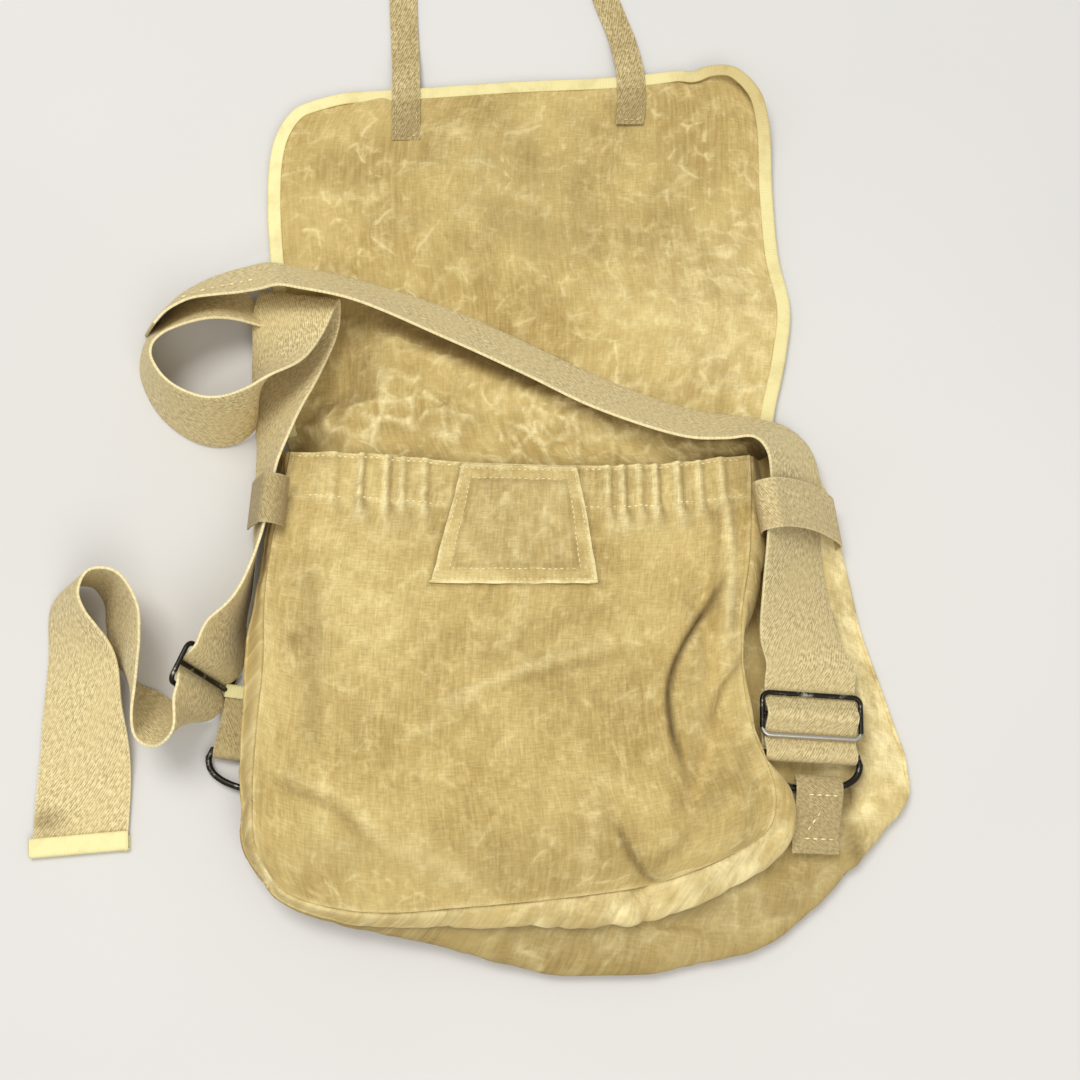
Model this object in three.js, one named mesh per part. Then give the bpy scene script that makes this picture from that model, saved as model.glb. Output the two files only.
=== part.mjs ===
// Military canvas shoulder bag, lying on its back with the flap opened away from the body.
// Millimetres, +Z up, the surface it lies on is Z = 0, +Y runs from the bag's bottom to its flap.
import * as THREE from 'three';

// Cloth, webbing and tape
const CANVAS = 1.6;
const HEM_WIDTH = 26;
const HEM_EXTRA = 0.8;
const PATCH_WALL = 1.0;
const WEB = 2.2;
const WEB_WIDTH = 51;
const KEEPER_WALL = 1.6;
const KEEPER_WIDTH = 27;
const TAB_WALL = 1.6;
const TAB_WIDTH = 26;
const TAPE = 0.8;
const TAPE_WIDTH = 6.5;
const CLOSING_WIDTH = 17;
const CLOSING_WALL = 1.6;
const TAIL_TAPE_WIDTH = 12;

// Clearances between pieces
const GAP = 0.3;
const SEAM = 0.6;

// Slide buckles and rings of blackened steel
const BUCKLE_LENGTH = 58;
const BUCKLE_WIDTH = 25;
const BUCKLE_WIRE = 2.8;
const BUCKLE_CORNER = 4;
const RING_LENGTH = 60;
const RING_DEPTH = 22;
const RING_WIRE = 3.6;
const RING_SIDES = 8;

// Cells of the cloth grids
const CELLS_ACROSS = 26;
const CELLS_ALONG = 16;
const CELLS_FLAP = 10;
const CELLS_PROFILE = 6;

// Crown of the front panel and lift of the flap off the surface
const FRONT_CROWN = 9;
const FLAP_LIFT = 2.5;

const table = (columns, rows) => rows.map(
  (row) => Object.fromEntries(columns.map((name, k) => [name, row[k]])));

// Edges of the front panel, left and right from the bottom up, bottom and top from left to right
const FRONT_LEFT = table(['x', 'y', 'z'], [
  [-156, -98, 30], [-163, -84, 33], [-165, -60, 37], [-164, -25, 40], [-162, 8, 41],
  [-163, 43, 40], [-161, 77, 37], [-157, 106, 33], [-155, 129, 28]]);
const FRONT_RIGHT = table(['x', 'y', 'z'], [
  [92, -83, 35], [101, -75, 36], [104.5, -62, 38], [101.5, -47, 40], [94.5, -30, 41], [90, -9, 41],
  [88.5, 12, 41], [90, 38, 40], [95, 66, 38], [98, 100, 34], [99, 127, 29]]);
const FRONT_BOTTOM = table(['x', 'y', 'z'], [
  [-156, -98, 30], [-149, -106, 30], [-139, -111, 30], [-114, -116.5, 31], [-89, -117.5, 32],
  [-63, -115.5, 33], [-27, -112.5, 34], [14, -108, 34], [39, -104, 34], [65, -95.5, 34],
  [82, -88, 34.5], [92, -83, 35]]);
const FRONT_TOP = table(['x', 'y', 'z'], [
  [-155, 129, 28], [-111, 127, 29], [-61, 122.5, 30], [-28, 121.3, 30], [5, 120.5, 30],
  [49, 121, 30], [99, 127, 29]]);

// Edges of the back panel, in the same order
const BACK_LEFT = table(['x', 'y'], [
  [-122, -99], [-124, -80], [-124, -40], [-126, 10], [-134, 60], [-146, 104], [-160, 138]]);
const BACK_RIGHT = table(['x', 'y'], [
  [162, -73], [172, -59], [175, -44], [169, -22], [161, 5], [154, 28], [148.5, 50], [144, 75],
  [139.5, 98], [131, 120], [118, 138]]);
const BACK_BOTTOM = table(['x', 'y'], [
  [-122, -99], [-108, -107], [-92, -114], [-46, -130], [-12, -140], [14, -141], [40, -140],
  [70, -134], [97, -127], [133, -101], [162, -73]]);
const BACK_TOP = table(['x', 'y'], [[-160, 138], [118, 138]]);

// Edges of the opened flap
const FLAP_LEFT = table(['x', 'y'], [
  [-160, 138], [-166, 160], [-170, 212], [-178, 290], [-177.5, 322], [-173, 339], [-164, 352], [-152, 358]]);
const FLAP_RIGHT = table(['x', 'y'], [
  [118, 138], [115.5, 152], [124, 193], [128, 224], [122.5, 256], [120.5, 295], [119.5, 338],
  [115, 356], [108, 366]]);
const FLAP_TOP = table(['x', 'y'], [
  [-152, 358], [-136, 363], [-102, 366], [-41, 370], [20, 374], [81, 378], [98, 375], [108, 366]]);

// Folds of the front panel: a ridge, or a valley where the height is negative, along a bowed line
const FRONT_FOLDS = table(['x1', 'y1', 'x2', 'y2', 'bow', 'width', 'height'], [
  [69, 38, 60, -64, 11, 9, -8],
  [84, 34, 84, -72, 0, 13, 7],
  [24, -72, 42, -108, 0, 7, -6],
  [60, -70, 66, -98, 0, 10, 3],
  [-96, -24, 26, 26, 3, 15, 3],
  [-147, 62, -150, -66, -4, 9, -3],
  [-132, 128, -138, 84, 0, 7, 3],
  [-108, 128, -112, 80, 0, 7, 3],
  [-84, 126, -88, 84, 0, 7, 2.5],
  [36, 123, 40, 82, 0, 7, 2.5],
  [58, 124, 62, 80, 0, 7, 3],
  [80, 127, 84, 86, 0, 7, 3]]);

// Slow waves of the flap: a swelling at a point
const FLAP_WAVES = table(['x', 'y', 'reach', 'height'], [
  [112, 366, 42, 8], [-168, 350, 36, 3], [60, 250, 60, 2.5], [-90, 300, 70, 2], [-30, 352, 40, 2]]);

// The gusset from the mouth's right end (0) round the bottom corners (1, 2) to its left end (3)
const GUSSET = table(['at', 'shoulderOut', 'shoulderDrop', 'skirtOut', 'skirtZ'], [
  [0.00, 6, 8, 8, 5],
  [0.15, 6, 13, 9, 6],
  [0.38, 2, 22, 8, 5],
  [0.55, -6, 22, 8, 5],
  [0.85, -12, 21, 8, 6],
  [0.95, -2, 20, 9, 7],
  [1.06, 16, 13, 9, 7],
  [1.25, 17, 9, 8, 7],
  [1.50, 12, 7, 8, 7],
  [1.75, 6, 7, 9, 8],
  [1.92, 5, 8, 12, 6],
  [2.10, 7, 9, 7, 4.8],
  [2.45, 10, 9, 7, 4.8],
  [2.62, 5, 8, 10, 6],
  [2.85, 3, 7, 9, 7],
  [3.00, 3, 7, 6, 6]]);

// Trapezoid patch, as shares of the front panel across (u) and up (v)
const PATCH = { topLeft: 0.375, topRight: 0.622, bottomLeft: 0.345, bottomRight: 0.683, low: 0.70, high: 0.975 };
const PATCH_CELLS = 9;

// Shoulder strap stations: the middle, and the way from the low edge to the raised edge as heading and lean
const STRAP_COLUMNS = ['x', 'y', 'z', 'heading', 'lean'];
const STRAP_RIGHT = table(STRAP_COLUMNS, [
  [124, 22, 31.5, 179, 18],
  [123.2, 50, 32.5, -175, 29],
  [123.3, 74, 32.5, -172, 38],
  [123.4, 98, 32, -165, 43],
  [123, 115.5, 31.5, -158, 46],
  [119.5, 131, 30.5, -152, 50],
  [110, 140.5, 30, -140, 54],
  [90.5, 143, 29, -120, 54],
  [65.5, 146, 28, -105, 54],
  [15, 164.5, 27, -93, 50],
  [-30, 187.5, 25.8, -78, 44],
  [-70, 206, 26.2, -75, 44],
  [-125, 226.5, 28.4, -72, 51],
  [-154, 232, 31, -74, 52],
  [-176, 230, 33, -75, 52],
  [-197, 226, 32.5, -70, 55],
  [-213, 219.5, 31, -60, 62],
  [-225, 211.5, 29, -48, 68]]);
const STRAP_LEFT = table(STRAP_COLUMNS, [
  [-179, 218.5, 24.1, -40, 69],
  [-197, 216, 24.1, -42, 69],
  [-217, 210.5, 24.3, -38, 69],
  [-231, 201, 24.6, -32, 70],
  [-238.5, 189, 24.7, -22, 70],
  [-238, 177, 24.7, -8, 70],
  [-230, 164, 25, 8, 71],
  [-218, 154, 25, 28, 71],
  [-203, 148, 25, 48, 71],
  [-188, 149, 26, 66, 73],
  [-176.5, 156, 29, 62, 82],
  [-171, 171, 33, -30, 62],
  [-164, 187, 30.5, -30, 38],
  [-160, 203, 27.5, -20, 24],
  [-157, 215, 26.5, -14, 17],
  [-154.5, 226, 20, -14, 17],
  [-155, 215, 13.6, -14, 17],
  [-157, 204, 13, -12, 17],
  [-160, 189, 15, -11, 24],
  [-162, 172, 19, -9, 35],
  [-164, 153, 23, -9, 50],
  [-166, 136, 24.6, -14, 60],
  [-168.5, 120, 25.2, -20, 66],
  [-170, 98, 25.6, -22, 69],
  [-171.5, 77, 25.9, -18, 75],
  [-176, 52, 26.3, -10, 83],
  [-182, 35, 27.2, 90, 89]]);
const STRAP_TAIL = table(STRAP_COLUMNS, [
  [-204.5, -20.5, 27, -66, 81],
  [-212.6, -20.5, 23.7, -76, 60],
  [-223.4, -17.5, 19.6, -82, 45],
  [-231.5, -13, 20.4, -78, 48],
  [-234.3, -6.7, 23.4, -66, 60],
  [-236.3, 1.5, 24.2, -39, 63],
  [-240.5, 15.5, 22.8, -22, 56],
  [-242.9, 30.5, 21.2, -22, 51],
  [-244.7, 44.5, 21.8, -17, 53],
  [-253.5, 57.5, 23, -2, 58],
  [-261.3, 59.4, 24.2, 3, 63],
  [-269.1, 57.5, 24, 0, 62],
  [-275, 47.2, 23, -2, 58],
  [-273.8, 37, 21.4, 0, 52],
  [-270.6, 28.6, 19.6, 4, 45],
  [-267.5, 19, 16.2, 8, 35],
  [-266, 8, 13.2, 11, 26],
  [-265, -14, 10.4, 11, 20],
  [-263.5, -33.5, 6, 9, 9],
  [-263.3, -50, 3, 5, 1],
  [-263.3, -70, 2.4, 0, 0],
  [-263.3, -86, 2.4, 0, 0]]);
const STRAP_STEPS = 2;

// Where each slide buckle sits, facing along its strap
const BUCKLE_AT = table(['x', 'y', 'z', 'heading', 'lean', 'along'], [
  [126.8, -17, 28.5, 178, 12, 90],
  [-195.5, 4, 28.6, 150, 72, -112]]);
const BAR_PITCH = (BUCKLE_WIDTH - BUCKLE_WIRE) / 2;

// Webbing round the bars, as distance along the strap and height over the buckle's plane
const RIGHT_THREADING = table(['s', 'n'], [
  [14, -7.3], [0, -7.3], [-12, -7.2], [-19, -7.0], [-22.6, -5.9], [-23.8, -3.3], [-22.6, -0.7], [-19.4, 0.3],
  [-16, -1.6], [-BAR_PITCH, -3.0], [-6.5, -1.2], [0, 3.0], [6.5, -1.2], [BAR_PITCH, -3.0], [18, -2.2], [26, -0.8]]);
const RIGHT_RING_AT = { s: -20, n: -3.3 };
const RIGHT_TAB = table(['s', 'n'], [
  [-58, -9.8], [-48, -8.8], [-40, -6.9], [-34, -5.9], [-31, -3.3], [-34, -0.7], [-40, -0.2], [-48, -2.8], [-58, -6.2],
  [-71, -7.6]]);
const RIGHT_TAB_ASIDE = -4;
const LEFT_THREADING = table(['s', 'n'], [
  [-26, -0.8], [-18, -2.2], [-BAR_PITCH, -3.0], [-6.5, -1.2], [0, 3.0], [6.5, -1.2], [BAR_PITCH, -3.0], [17, -2.6]]);

// Left ring, lying under the body's overhang, with its hairpin of webbing and its tab
const LEFT_RING = { x: -168, y: -36, z: 4.8, heading: 172, lean: 0, along: 82 };
const LEFT_LOOP = table(['s', 'n'], [
  [23, -0.7], [14, -0.7], [6.5, 1.6], [1.5, 3.2], [-2.6, 2.5], [-3.7, 0], [-2.6, -2.5], [2, -3.3], [14, -3.4],
  [22, -3.4]]);
const LEFT_TAB = table(['s', 'n'], [
  [-43, -3.4], [-32, -3.4], [-20, -3.3], [-11.6, -2.6], [-8.6, 0], [-11.6, 2.6], [-20, 3.3], [-32, 3.6], [-43, 4]]);
const LEFT_TAB_ASIDE = -9;

// Keepers round the strap, as distance from its middle towards the raised edge and height over its face
const RIGHT_KEEPER = { x: 123.4, y: 98, z: 31.5, heading: -165, lean: 43, along: 93 };
const RIGHT_KEEPER_PATH = table(['w', 'n'], [
  [19, -13], [25.5, -8], [31.4, -1], [28.8, 6.2], [18, 6.8], [0, 7.4], [-18, 6.8], [-27.5, 5], [-30.4, -1]]);
const LEFT_KEEPER = { x: -169.8, y: 100, z: 25.6, heading: -22, lean: 69, along: -93 };
const LEFT_KEEPER_PATH = table(['w', 'n'], [
  [19, -10], [25.5, -7], [29.8, -1], [27.8, 4], [18, 4.4], [0, 4.8], [-16, 4.2]]);

// Closing straps sewn to the flap's edge
const CLOSING_LEFT = table(STRAP_COLUMNS, [
  [-97.5, 332, 7.1, 180, 0], [-97.8, 350, 7.2, 180, 0], [-98.3, 369, 7.2, 180, 0], [-98.8, 382, 5.4, 180, 0],
  [-100, 398, 2.2, 180, 0], [-102, 432, 1.2, 180, 0], [-103, 480, 1.2, 180, 0], [-101, 530, 1.2, 180, 0]]);
const CLOSING_RIGHT = table(STRAP_COLUMNS, [
  [37, 343, 6.4, 180, 0], [38.5, 358, 6.8, 180, 0], [38, 377, 7, 180, 0], [36, 390, 5.2, 180, 0],
  [33, 405, 2.2, 180, 0], [24, 432, 1.2, 180, 0], [12, 478, 1.2, 180, 0], [4, 526, 1.2, 180, 0]]);

const group = new THREE.Group();
const COLOURS = {
  canvas: '#8d7c58', webbing: '#7d7053', tape: '#c9b884', steel: '#2b2a29', patch: '#8d7c58', closing: '#84754f' };

const V = (x, y, z = 0) => new THREE.Vector3(x, y, z);
const radians = THREE.MathUtils.degToRad;
const share = (k, n) => k / n;

// A closed body from points and faces, turned so that its faces look outward
function addBody(name, points, faces, colour, roughness, metalness = 0) {
  const body = faces.filter(([a, b, c]) => points[a].distanceTo(points[b]) > 1e-6
    && points[b].distanceTo(points[c]) > 1e-6 && points[c].distanceTo(points[a]) > 1e-6);
  let volume = 0;
  for (const [a, b, c] of body) volume += points[a].dot(V(0, 0, 0).crossVectors(points[b], points[c])) / 6;
  const index = body.flatMap(([a, b, c]) => (volume > 0 ? [a, b, c] : [a, c, b]));
  const geometry = new THREE.BufferGeometry();
  geometry.setAttribute('position', new THREE.Float32BufferAttribute(points.flatMap((p) => p.toArray()), 3));
  geometry.setIndex(index);
  geometry.computeVertexNormals();
  const material = new THREE.MeshStandardMaterial({ color: colour, roughness, metalness });
  const mesh = new THREE.Mesh(geometry, material);
  mesh.name = name;
  group.add(mesh);
  return mesh;
}

// A smooth line through table rows
function lineThrough(rows, height = 0) {
  return new THREE.CatmullRomCurve3(rows.map((r) => V(r.x, r.y, r.z ?? height)), false, 'centripetal');
}

// A value of one column at a place between the rows
function columnAt(rows, key, column, at) {
  let k = 0;
  while (k < rows.length - 2 && rows[k + 1][key] < at) k += 1;
  const t = THREE.MathUtils.smoothstep(at, rows[k][key], rows[k + 1][key]);
  return rows[k][column] + (rows[k + 1][column] - rows[k][column]) * t;
}

// A surface spanned between four edges
function spanned(left, right, bottom, top) {
  const corners = [bottom.getPointAt(0), bottom.getPointAt(1), top.getPointAt(0), top.getPointAt(1)];
  return (u, v) => {
    const point = V(0, 0, 0);
    point.addScaledVector(bottom.getPointAt(u), 1 - v).addScaledVector(top.getPointAt(u), v);
    point.addScaledVector(left.getPointAt(v), 1 - u).addScaledVector(right.getPointAt(v), u);
    point.addScaledVector(corners[0], -(1 - u) * (1 - v)).addScaledVector(corners[1], -u * (1 - v));
    point.addScaledVector(corners[2], -(1 - u) * v).addScaledVector(corners[3], -u * v);
    return point;
  };
}

// Normals of a grid of points
function gridNormals(grid) {
  const last = grid.length - 1;
  return grid.map((column, i) => column.map((_, j) => {
    const end = column.length - 1;
    const across = grid[Math.min(i + 1, last)][j].clone().sub(grid[Math.max(i - 1, 0)][j]);
    const along = column[Math.min(j + 1, end)].clone().sub(column[Math.max(j - 1, 0)]);
    return across.cross(along).normalize();
  }));
}

// A cloth wall between two heights over a grid of points
function addSheet(name, grid, low, high, colour, roughness) {
  const normals = gridNormals(grid);
  const rows = grid[0].length;
  const count = grid.length * rows;
  const points = [];
  for (const height of [low, high]) {
    grid.forEach((column, i) => column.forEach((p, j) => {
      points.push(p.clone().addScaledVector(normals[i][j], height(i, j)));
    }));
  }
  const at = (i, j, side) => side * count + i * rows + j;
  const faces = [];
  const quad = (a, b, c, d) => faces.push([a, b, c], [a, c, d]);
  for (let i = 0; i < grid.length - 1; i += 1) {
    for (let j = 0; j < rows - 1; j += 1) {
      quad(at(i, j, 1), at(i + 1, j, 1), at(i + 1, j + 1, 1), at(i, j + 1, 1));
      faces.push([at(i, j, 0), at(i + 1, j + 1, 0), at(i + 1, j, 0)]);
      faces.push([at(i, j, 0), at(i, j + 1, 0), at(i + 1, j + 1, 0)]);
    }
    quad(at(i, 0, 0), at(i + 1, 0, 0), at(i + 1, 0, 1), at(i, 0, 1));
    quad(at(i, rows - 1, 1), at(i + 1, rows - 1, 1), at(i + 1, rows - 1, 0), at(i, rows - 1, 0));
  }
  const end = grid.length - 1;
  for (let j = 0; j < rows - 1; j += 1) {
    quad(at(0, j, 0), at(0, j, 1), at(0, j + 1, 1), at(0, j + 1, 0));
    quad(at(end, j, 1), at(end, j, 0), at(end, j + 1, 0), at(end, j + 1, 1));
  }
  return addBody(name, points, faces, colour, roughness);
}

// A solid drawn through closed sections, with its ends closed by the given faces
function addLoft(name, sections, caps, colour, roughness, metalness = 0) {
  const size = sections[0].length;
  const faces = [];
  for (let i = 0; i < sections.length - 1; i += 1) {
    for (let k = 0; k < size; k += 1) {
      const next = (k + 1) % size;
      const [a, b] = [i * size + k, i * size + next];
      faces.push([a, b, b + size], [a, b + size, a + size]);
    }
  }
  const last = (sections.length - 1) * size;
  for (const [a, b, c] of caps) faces.push([a, c, b], [last + a, last + b, last + c]);
  return addBody(name, sections.flat(), faces, colour, roughness, metalness);
}
const STRIP_CAPS = [[0, 1, 2], [0, 2, 3]];

// The way from a strap's low edge to its raised edge
function widthWay(heading, lean) {
  const level = Math.cos(radians(lean));
  return V(level * Math.cos(radians(heading)), level * Math.sin(radians(heading)), Math.sin(radians(lean)));
}

// A strap's stations, each a middle point and a width direction
const placed = (rows) => rows.map((r) => ({ point: V(r.x, r.y, r.z), way: widthWay(r.heading, r.lean) }));

// A strap through its stations
function addStrap(name, stations, width, wall, steps, colour) {
  const path = new THREE.CatmullRomCurve3(stations.map((s) => s.point), false, 'centripetal');
  const ways = new THREE.CatmullRomCurve3(stations.map((s) => s.way), false, 'catmullrom', 0.4);
  const count = (stations.length - 1) * steps;
  const sections = [];
  for (let k = 0; k <= count; k += 1) {
    const t = share(k, count);
    const point = path.getPoint(t);
    const tangent = path.getPoint(Math.min(t + 1e-4, 1)).sub(path.getPoint(Math.max(t - 1e-4, 0))).normalize();
    const face = tangent.clone().cross(ways.getPoint(t)).normalize();
    const way = face.clone().cross(tangent).normalize();
    const lowest = point.z - Math.abs(way.z) * width / 2 - Math.abs(face.z) * wall / 2;
    point.z += Math.max(0, GAP - lowest);
    const corner = (w, n) => point.clone().addScaledVector(way, w * width / 2).addScaledVector(face, n * wall / 2);
    sections.push([corner(1, 1), corner(-1, 1), corner(-1, -1), corner(1, -1)]);
  }
  return addLoft(name, sections, STRIP_CAPS, colour, 0.9);
}

// The frame of a buckle or keeper: along the strap, over its face, and towards its raised edge
function strapFrame(row) {
  const way = widthWay(row.heading, row.lean);
  const along = V(Math.cos(radians(row.along)), Math.sin(radians(row.along)), 0);
  along.addScaledVector(way, -along.dot(way)).normalize();
  const face = along.clone().cross(way).normalize();
  const at = (s, n, w = 0) => V(row.x, row.y, row.z)
    .addScaledVector(along, s).addScaledVector(face, n).addScaledVector(way, w);
  const matrix = new THREE.Matrix4().makeBasis(way, along, way.clone().cross(along)).setPosition(row.x, row.y, row.z);
  return { way, along, face, at, matrix };
}
const threaded = (frame, rows, aside = 0) => rows.map((r) => ({ point: frame.at(r.s, r.n, aside), way: frame.way }));

// Front panel, with its hem, crown and folds
function frontRelief(point, u, v) {
  let height = FRONT_CROWN * (1 - (2 * u - 1) ** 2) * (1 - (2 * v - 1) ** 2);
  for (const fold of FRONT_FOLDS) {
    const [dx, dy] = [fold.x2 - fold.x1, fold.y2 - fold.y1];
    const long = Math.hypot(dx, dy);
    const t = ((point.x - fold.x1) * dx + (point.y - fold.y1) * dy) / long ** 2;
    const inside = THREE.MathUtils.clamp(t, 0, 1);
    const aside = ((point.x - fold.x1) * dy - (point.y - fold.y1) * dx) / long + 4 * fold.bow * inside * (1 - inside);
    const past = Math.max(0, -t, t - 1) * long;
    const calm = THREE.MathUtils.smoothstep(Math.min(u, 1 - u), 0, 0.09);
    height += calm * fold.height * Math.exp(-((aside / fold.width) ** 2) - (past / 14) ** 2);
  }
  return height;
}
const frontSpan = spanned(lineThrough(FRONT_LEFT), lineThrough(FRONT_RIGHT), lineThrough(FRONT_BOTTOM), lineThrough(FRONT_TOP));
const HEM_SHARE = 1 - HEM_WIDTH / 235;
const frontShares = [];
for (let j = 0; j <= CELLS_ALONG; j += 1) {
  const hemCells = 3;
  const body = CELLS_ALONG - hemCells;
  frontShares.push(j <= body ? HEM_SHARE * share(j, body) : HEM_SHARE + (1 - HEM_SHARE) * share(j - body, hemCells));
}
const frontPoint = (u, v) => {
  const point = frontSpan(u, v);
  point.z += frontRelief(point, u, v);
  return point;
};
const frontGrid = [];
for (let i = 0; i <= CELLS_ACROSS; i += 1) {
  frontGrid.push(frontShares.map((v) => frontPoint(share(i, CELLS_ACROSS), v)));
}
const hemHeight = (j) => (frontShares[j] > HEM_SHARE + 0.001 ? HEM_EXTRA : 0);
addSheet('front_panel', frontGrid, () => -CANVAS / 2, (i, j) => CANVAS / 2 + hemHeight(j), COLOURS.canvas, 0.95);

// Back panel and flap in one length of cloth
const backSpan = spanned(lineThrough(BACK_LEFT), lineThrough(BACK_RIGHT), lineThrough(BACK_BOTTOM), lineThrough(BACK_TOP));
const flapSpan = spanned(lineThrough(FLAP_LEFT), lineThrough(FLAP_RIGHT), lineThrough(BACK_TOP), lineThrough(FLAP_TOP));
const EDGE_SHARE = TAPE_WIDTH / 300;
const TOP_SHARE = TAPE_WIDTH / 235;
const acrossShares = [0];
for (let i = 0; i <= CELLS_ACROSS - 2; i += 1) {
  acrossShares.push(EDGE_SHARE + (1 - 2 * EDGE_SHARE) * share(i, CELLS_ACROSS - 2));
}
acrossShares.push(1);
const HINGE_SHARE = 0.03;
const flapShares = [];
for (let j = 0; j < CELLS_FLAP - 1; j += 1) {
  flapShares.push(HINGE_SHARE + (1 - TOP_SHARE - HINGE_SHARE) * share(j, CELLS_FLAP - 2));
}
flapShares.push(1);
function flapPoint(u, v) {
  const point = flapSpan(u, v);
  point.z = CANVAS / 2 + FLAP_LIFT * THREE.MathUtils.smoothstep(v, 0, 0.05);
  for (const wave of FLAP_WAVES) {
    const far = Math.hypot(point.x - wave.x, point.y - wave.y) / wave.reach;
    point.z += wave.height * Math.exp(-far * far);
  }
  return point;
}
const backGrid = acrossShares.map((u) => {
  const column = [];
  for (let j = 0; j <= CELLS_ALONG; j += 1) column.push(backSpan(u, share(j, CELLS_ALONG)).setZ(CANVAS / 2));
  for (const v of flapShares) column.push(flapPoint(u, v));
  return column;
});
addSheet('back_and_flap', backGrid, () => -CANVAS / 2, () => CANVAS / 2, COLOURS.canvas, 0.95);

// Tape folded round the flap's free edge
const backNormals = gridNormals(backGrid);
const ROWS = backGrid[0].length - 1;
const rim = [];
for (let j = CELLS_ALONG + 1; j < ROWS; j += 1) rim.push([0, j, 1, j]);
rim.push([0, ROWS, 1, ROWS - 1]);
for (let i = 1; i < CELLS_ACROSS; i += 1) rim.push([i, ROWS, i, ROWS - 1]);
rim.push([CELLS_ACROSS, ROWS, CELLS_ACROSS - 1, ROWS - 1]);
for (let j = ROWS - 1; j >= CELLS_ALONG + 1; j -= 1) rim.push([CELLS_ACROSS, j, CELLS_ACROSS - 1, j]);
const TAPE_INSIDE = CANVAS / 2 + 1.5 * GAP;
const TAPE_OUTSIDE = TAPE_INSIDE + TAPE;
addLoft('flap_binding', rim.map(([ei, ej, ii, ij], k) => {
  const edge = backGrid[ei][ej];
  const inner = backGrid[ii][ij];
  const before = backGrid[rim[Math.max(k - 1, 0)][0]][rim[Math.max(k - 1, 0)][1]];
  const after = backGrid[rim[Math.min(k + 1, rim.length - 1)][0]][rim[Math.min(k + 1, rim.length - 1)][1]];
  const along = after.clone().sub(before).normalize();
  const up = backNormals[ei][ej];
  const out = up.clone().cross(along).normalize();
  if (out.dot(edge.clone().sub(inner)) < 0) out.negate();
  const over = (point, normal, height, aside) => point.clone().addScaledVector(normal, height).addScaledVector(out, aside);
  const innerUp = backNormals[ii][ij];
  return [
    over(inner, innerUp, TAPE_OUTSIDE, 0), over(edge, up, TAPE_OUTSIDE, GAP + TAPE),
    over(edge, up, -TAPE_OUTSIDE, GAP + TAPE), over(inner, innerUp, -TAPE_OUTSIDE, 0),
    over(inner, innerUp, -TAPE_INSIDE, 0), over(edge, up, -TAPE_INSIDE, GAP),
    over(edge, up, TAPE_INSIDE, GAP), over(inner, innerUp, TAPE_INSIDE, 0)];
}), [[0, 1, 6], [0, 6, 7], [1, 2, 5], [1, 5, 6], [2, 3, 4], [2, 4, 5]], COLOURS.tape, 0.9);

// Gusset between the front panel's edge and the back panel's edge
const frontRim = [];
const backRim = [];
for (let j = CELLS_ALONG; j > 0; j -= 1) {
  frontRim.push(frontGrid[CELLS_ACROSS][j]);
  backRim.push(backGrid[CELLS_ACROSS][j]);
}
for (let i = CELLS_ACROSS; i > 0; i -= 1) {
  frontRim.push(frontGrid[i][0]);
  backRim.push(backGrid[i][0]);
}
for (let j = 0; j <= CELLS_ALONG; j += 1) {
  frontRim.push(frontGrid[0][j]);
  backRim.push(backGrid[0][j]);
}
function outwardWays(points) {
  let ways = points.map((_, k) => {
    const step = points[Math.min(k + 1, points.length - 1)].clone().sub(points[Math.max(k - 1, 0)]);
    return V(-step.y, step.x, 0).normalize();
  });
  for (let pass = 0; pass < 2; pass += 1) {
    ways = ways.map((way, k) => way.clone().add(ways[Math.max(k - 1, 0)])
      .add(ways[Math.min(k + 1, ways.length - 1)]).normalize());
  }
  return ways;
}
const frontOut = outwardWays(frontRim);
const backOut = outwardWays(backRim);
const gussetGrid = frontRim.map((front, k) => {
  const at = k <= CELLS_ALONG ? share(k, CELLS_ALONG)
    : k <= CELLS_ALONG + CELLS_ACROSS ? 1 + share(k - CELLS_ALONG, CELLS_ACROSS)
      : 2 + share(k - CELLS_ALONG - CELLS_ACROSS, CELLS_ALONG);
  const size = (column) => columnAt(GUSSET, 'at', column, at);
  const back = backRim[k];
  const from = (point, way, out, z) => point.clone().addScaledVector(way, out).setZ(z);
  const seam = from(front, frontOut[k], SEAM, front.z);
  const lip = from(front, frontOut[k], SEAM + 1.2, front.z - 0.3);
  const shoulder = from(front, frontOut[k], size('shoulderOut'), front.z - size('shoulderDrop'));
  const skirt = from(back, backOut[k], size('skirtOut'), size('skirtZ'));
  const foot = from(back, backOut[k], SEAM + 3, CANVAS / 2 + 0.2);
  const end = from(back, backOut[k], SEAM, CANVAS / 2 + 0.1);
  const profile = new THREE.CatmullRomCurve3([lip, shoulder, skirt, foot], false, 'centripetal');
  return [seam, ...profile.getPoints(CELLS_PROFILE), end];
});
addSheet('gusset', gussetGrid, () => -CANVAS / 2, () => CANVAS / 2, COLOURS.canvas, 0.95);

// Patch on the front panel
const patchGrid = [];
for (let i = 0; i <= PATCH_CELLS; i += 1) {
  const column = [];
  for (let j = 0; j <= PATCH_CELLS; j += 1) {
    const [a, b] = [share(i, PATCH_CELLS), share(j, PATCH_CELLS)];
    const low = PATCH.bottomLeft + (PATCH.bottomRight - PATCH.bottomLeft) * a;
    const high = PATCH.topLeft + (PATCH.topRight - PATCH.topLeft) * a;
    column.push(frontPoint(low + (high - low) * b, PATCH.low + (PATCH.high - PATCH.low) * b));
  }
  patchGrid.push(column);
}
const PATCH_LOW = CANVAS / 2 + HEM_EXTRA + GAP;
addSheet('front_patch', patchGrid, () => PATCH_LOW, () => PATCH_LOW + PATCH_WALL, COLOURS.patch, 0.95);

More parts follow.
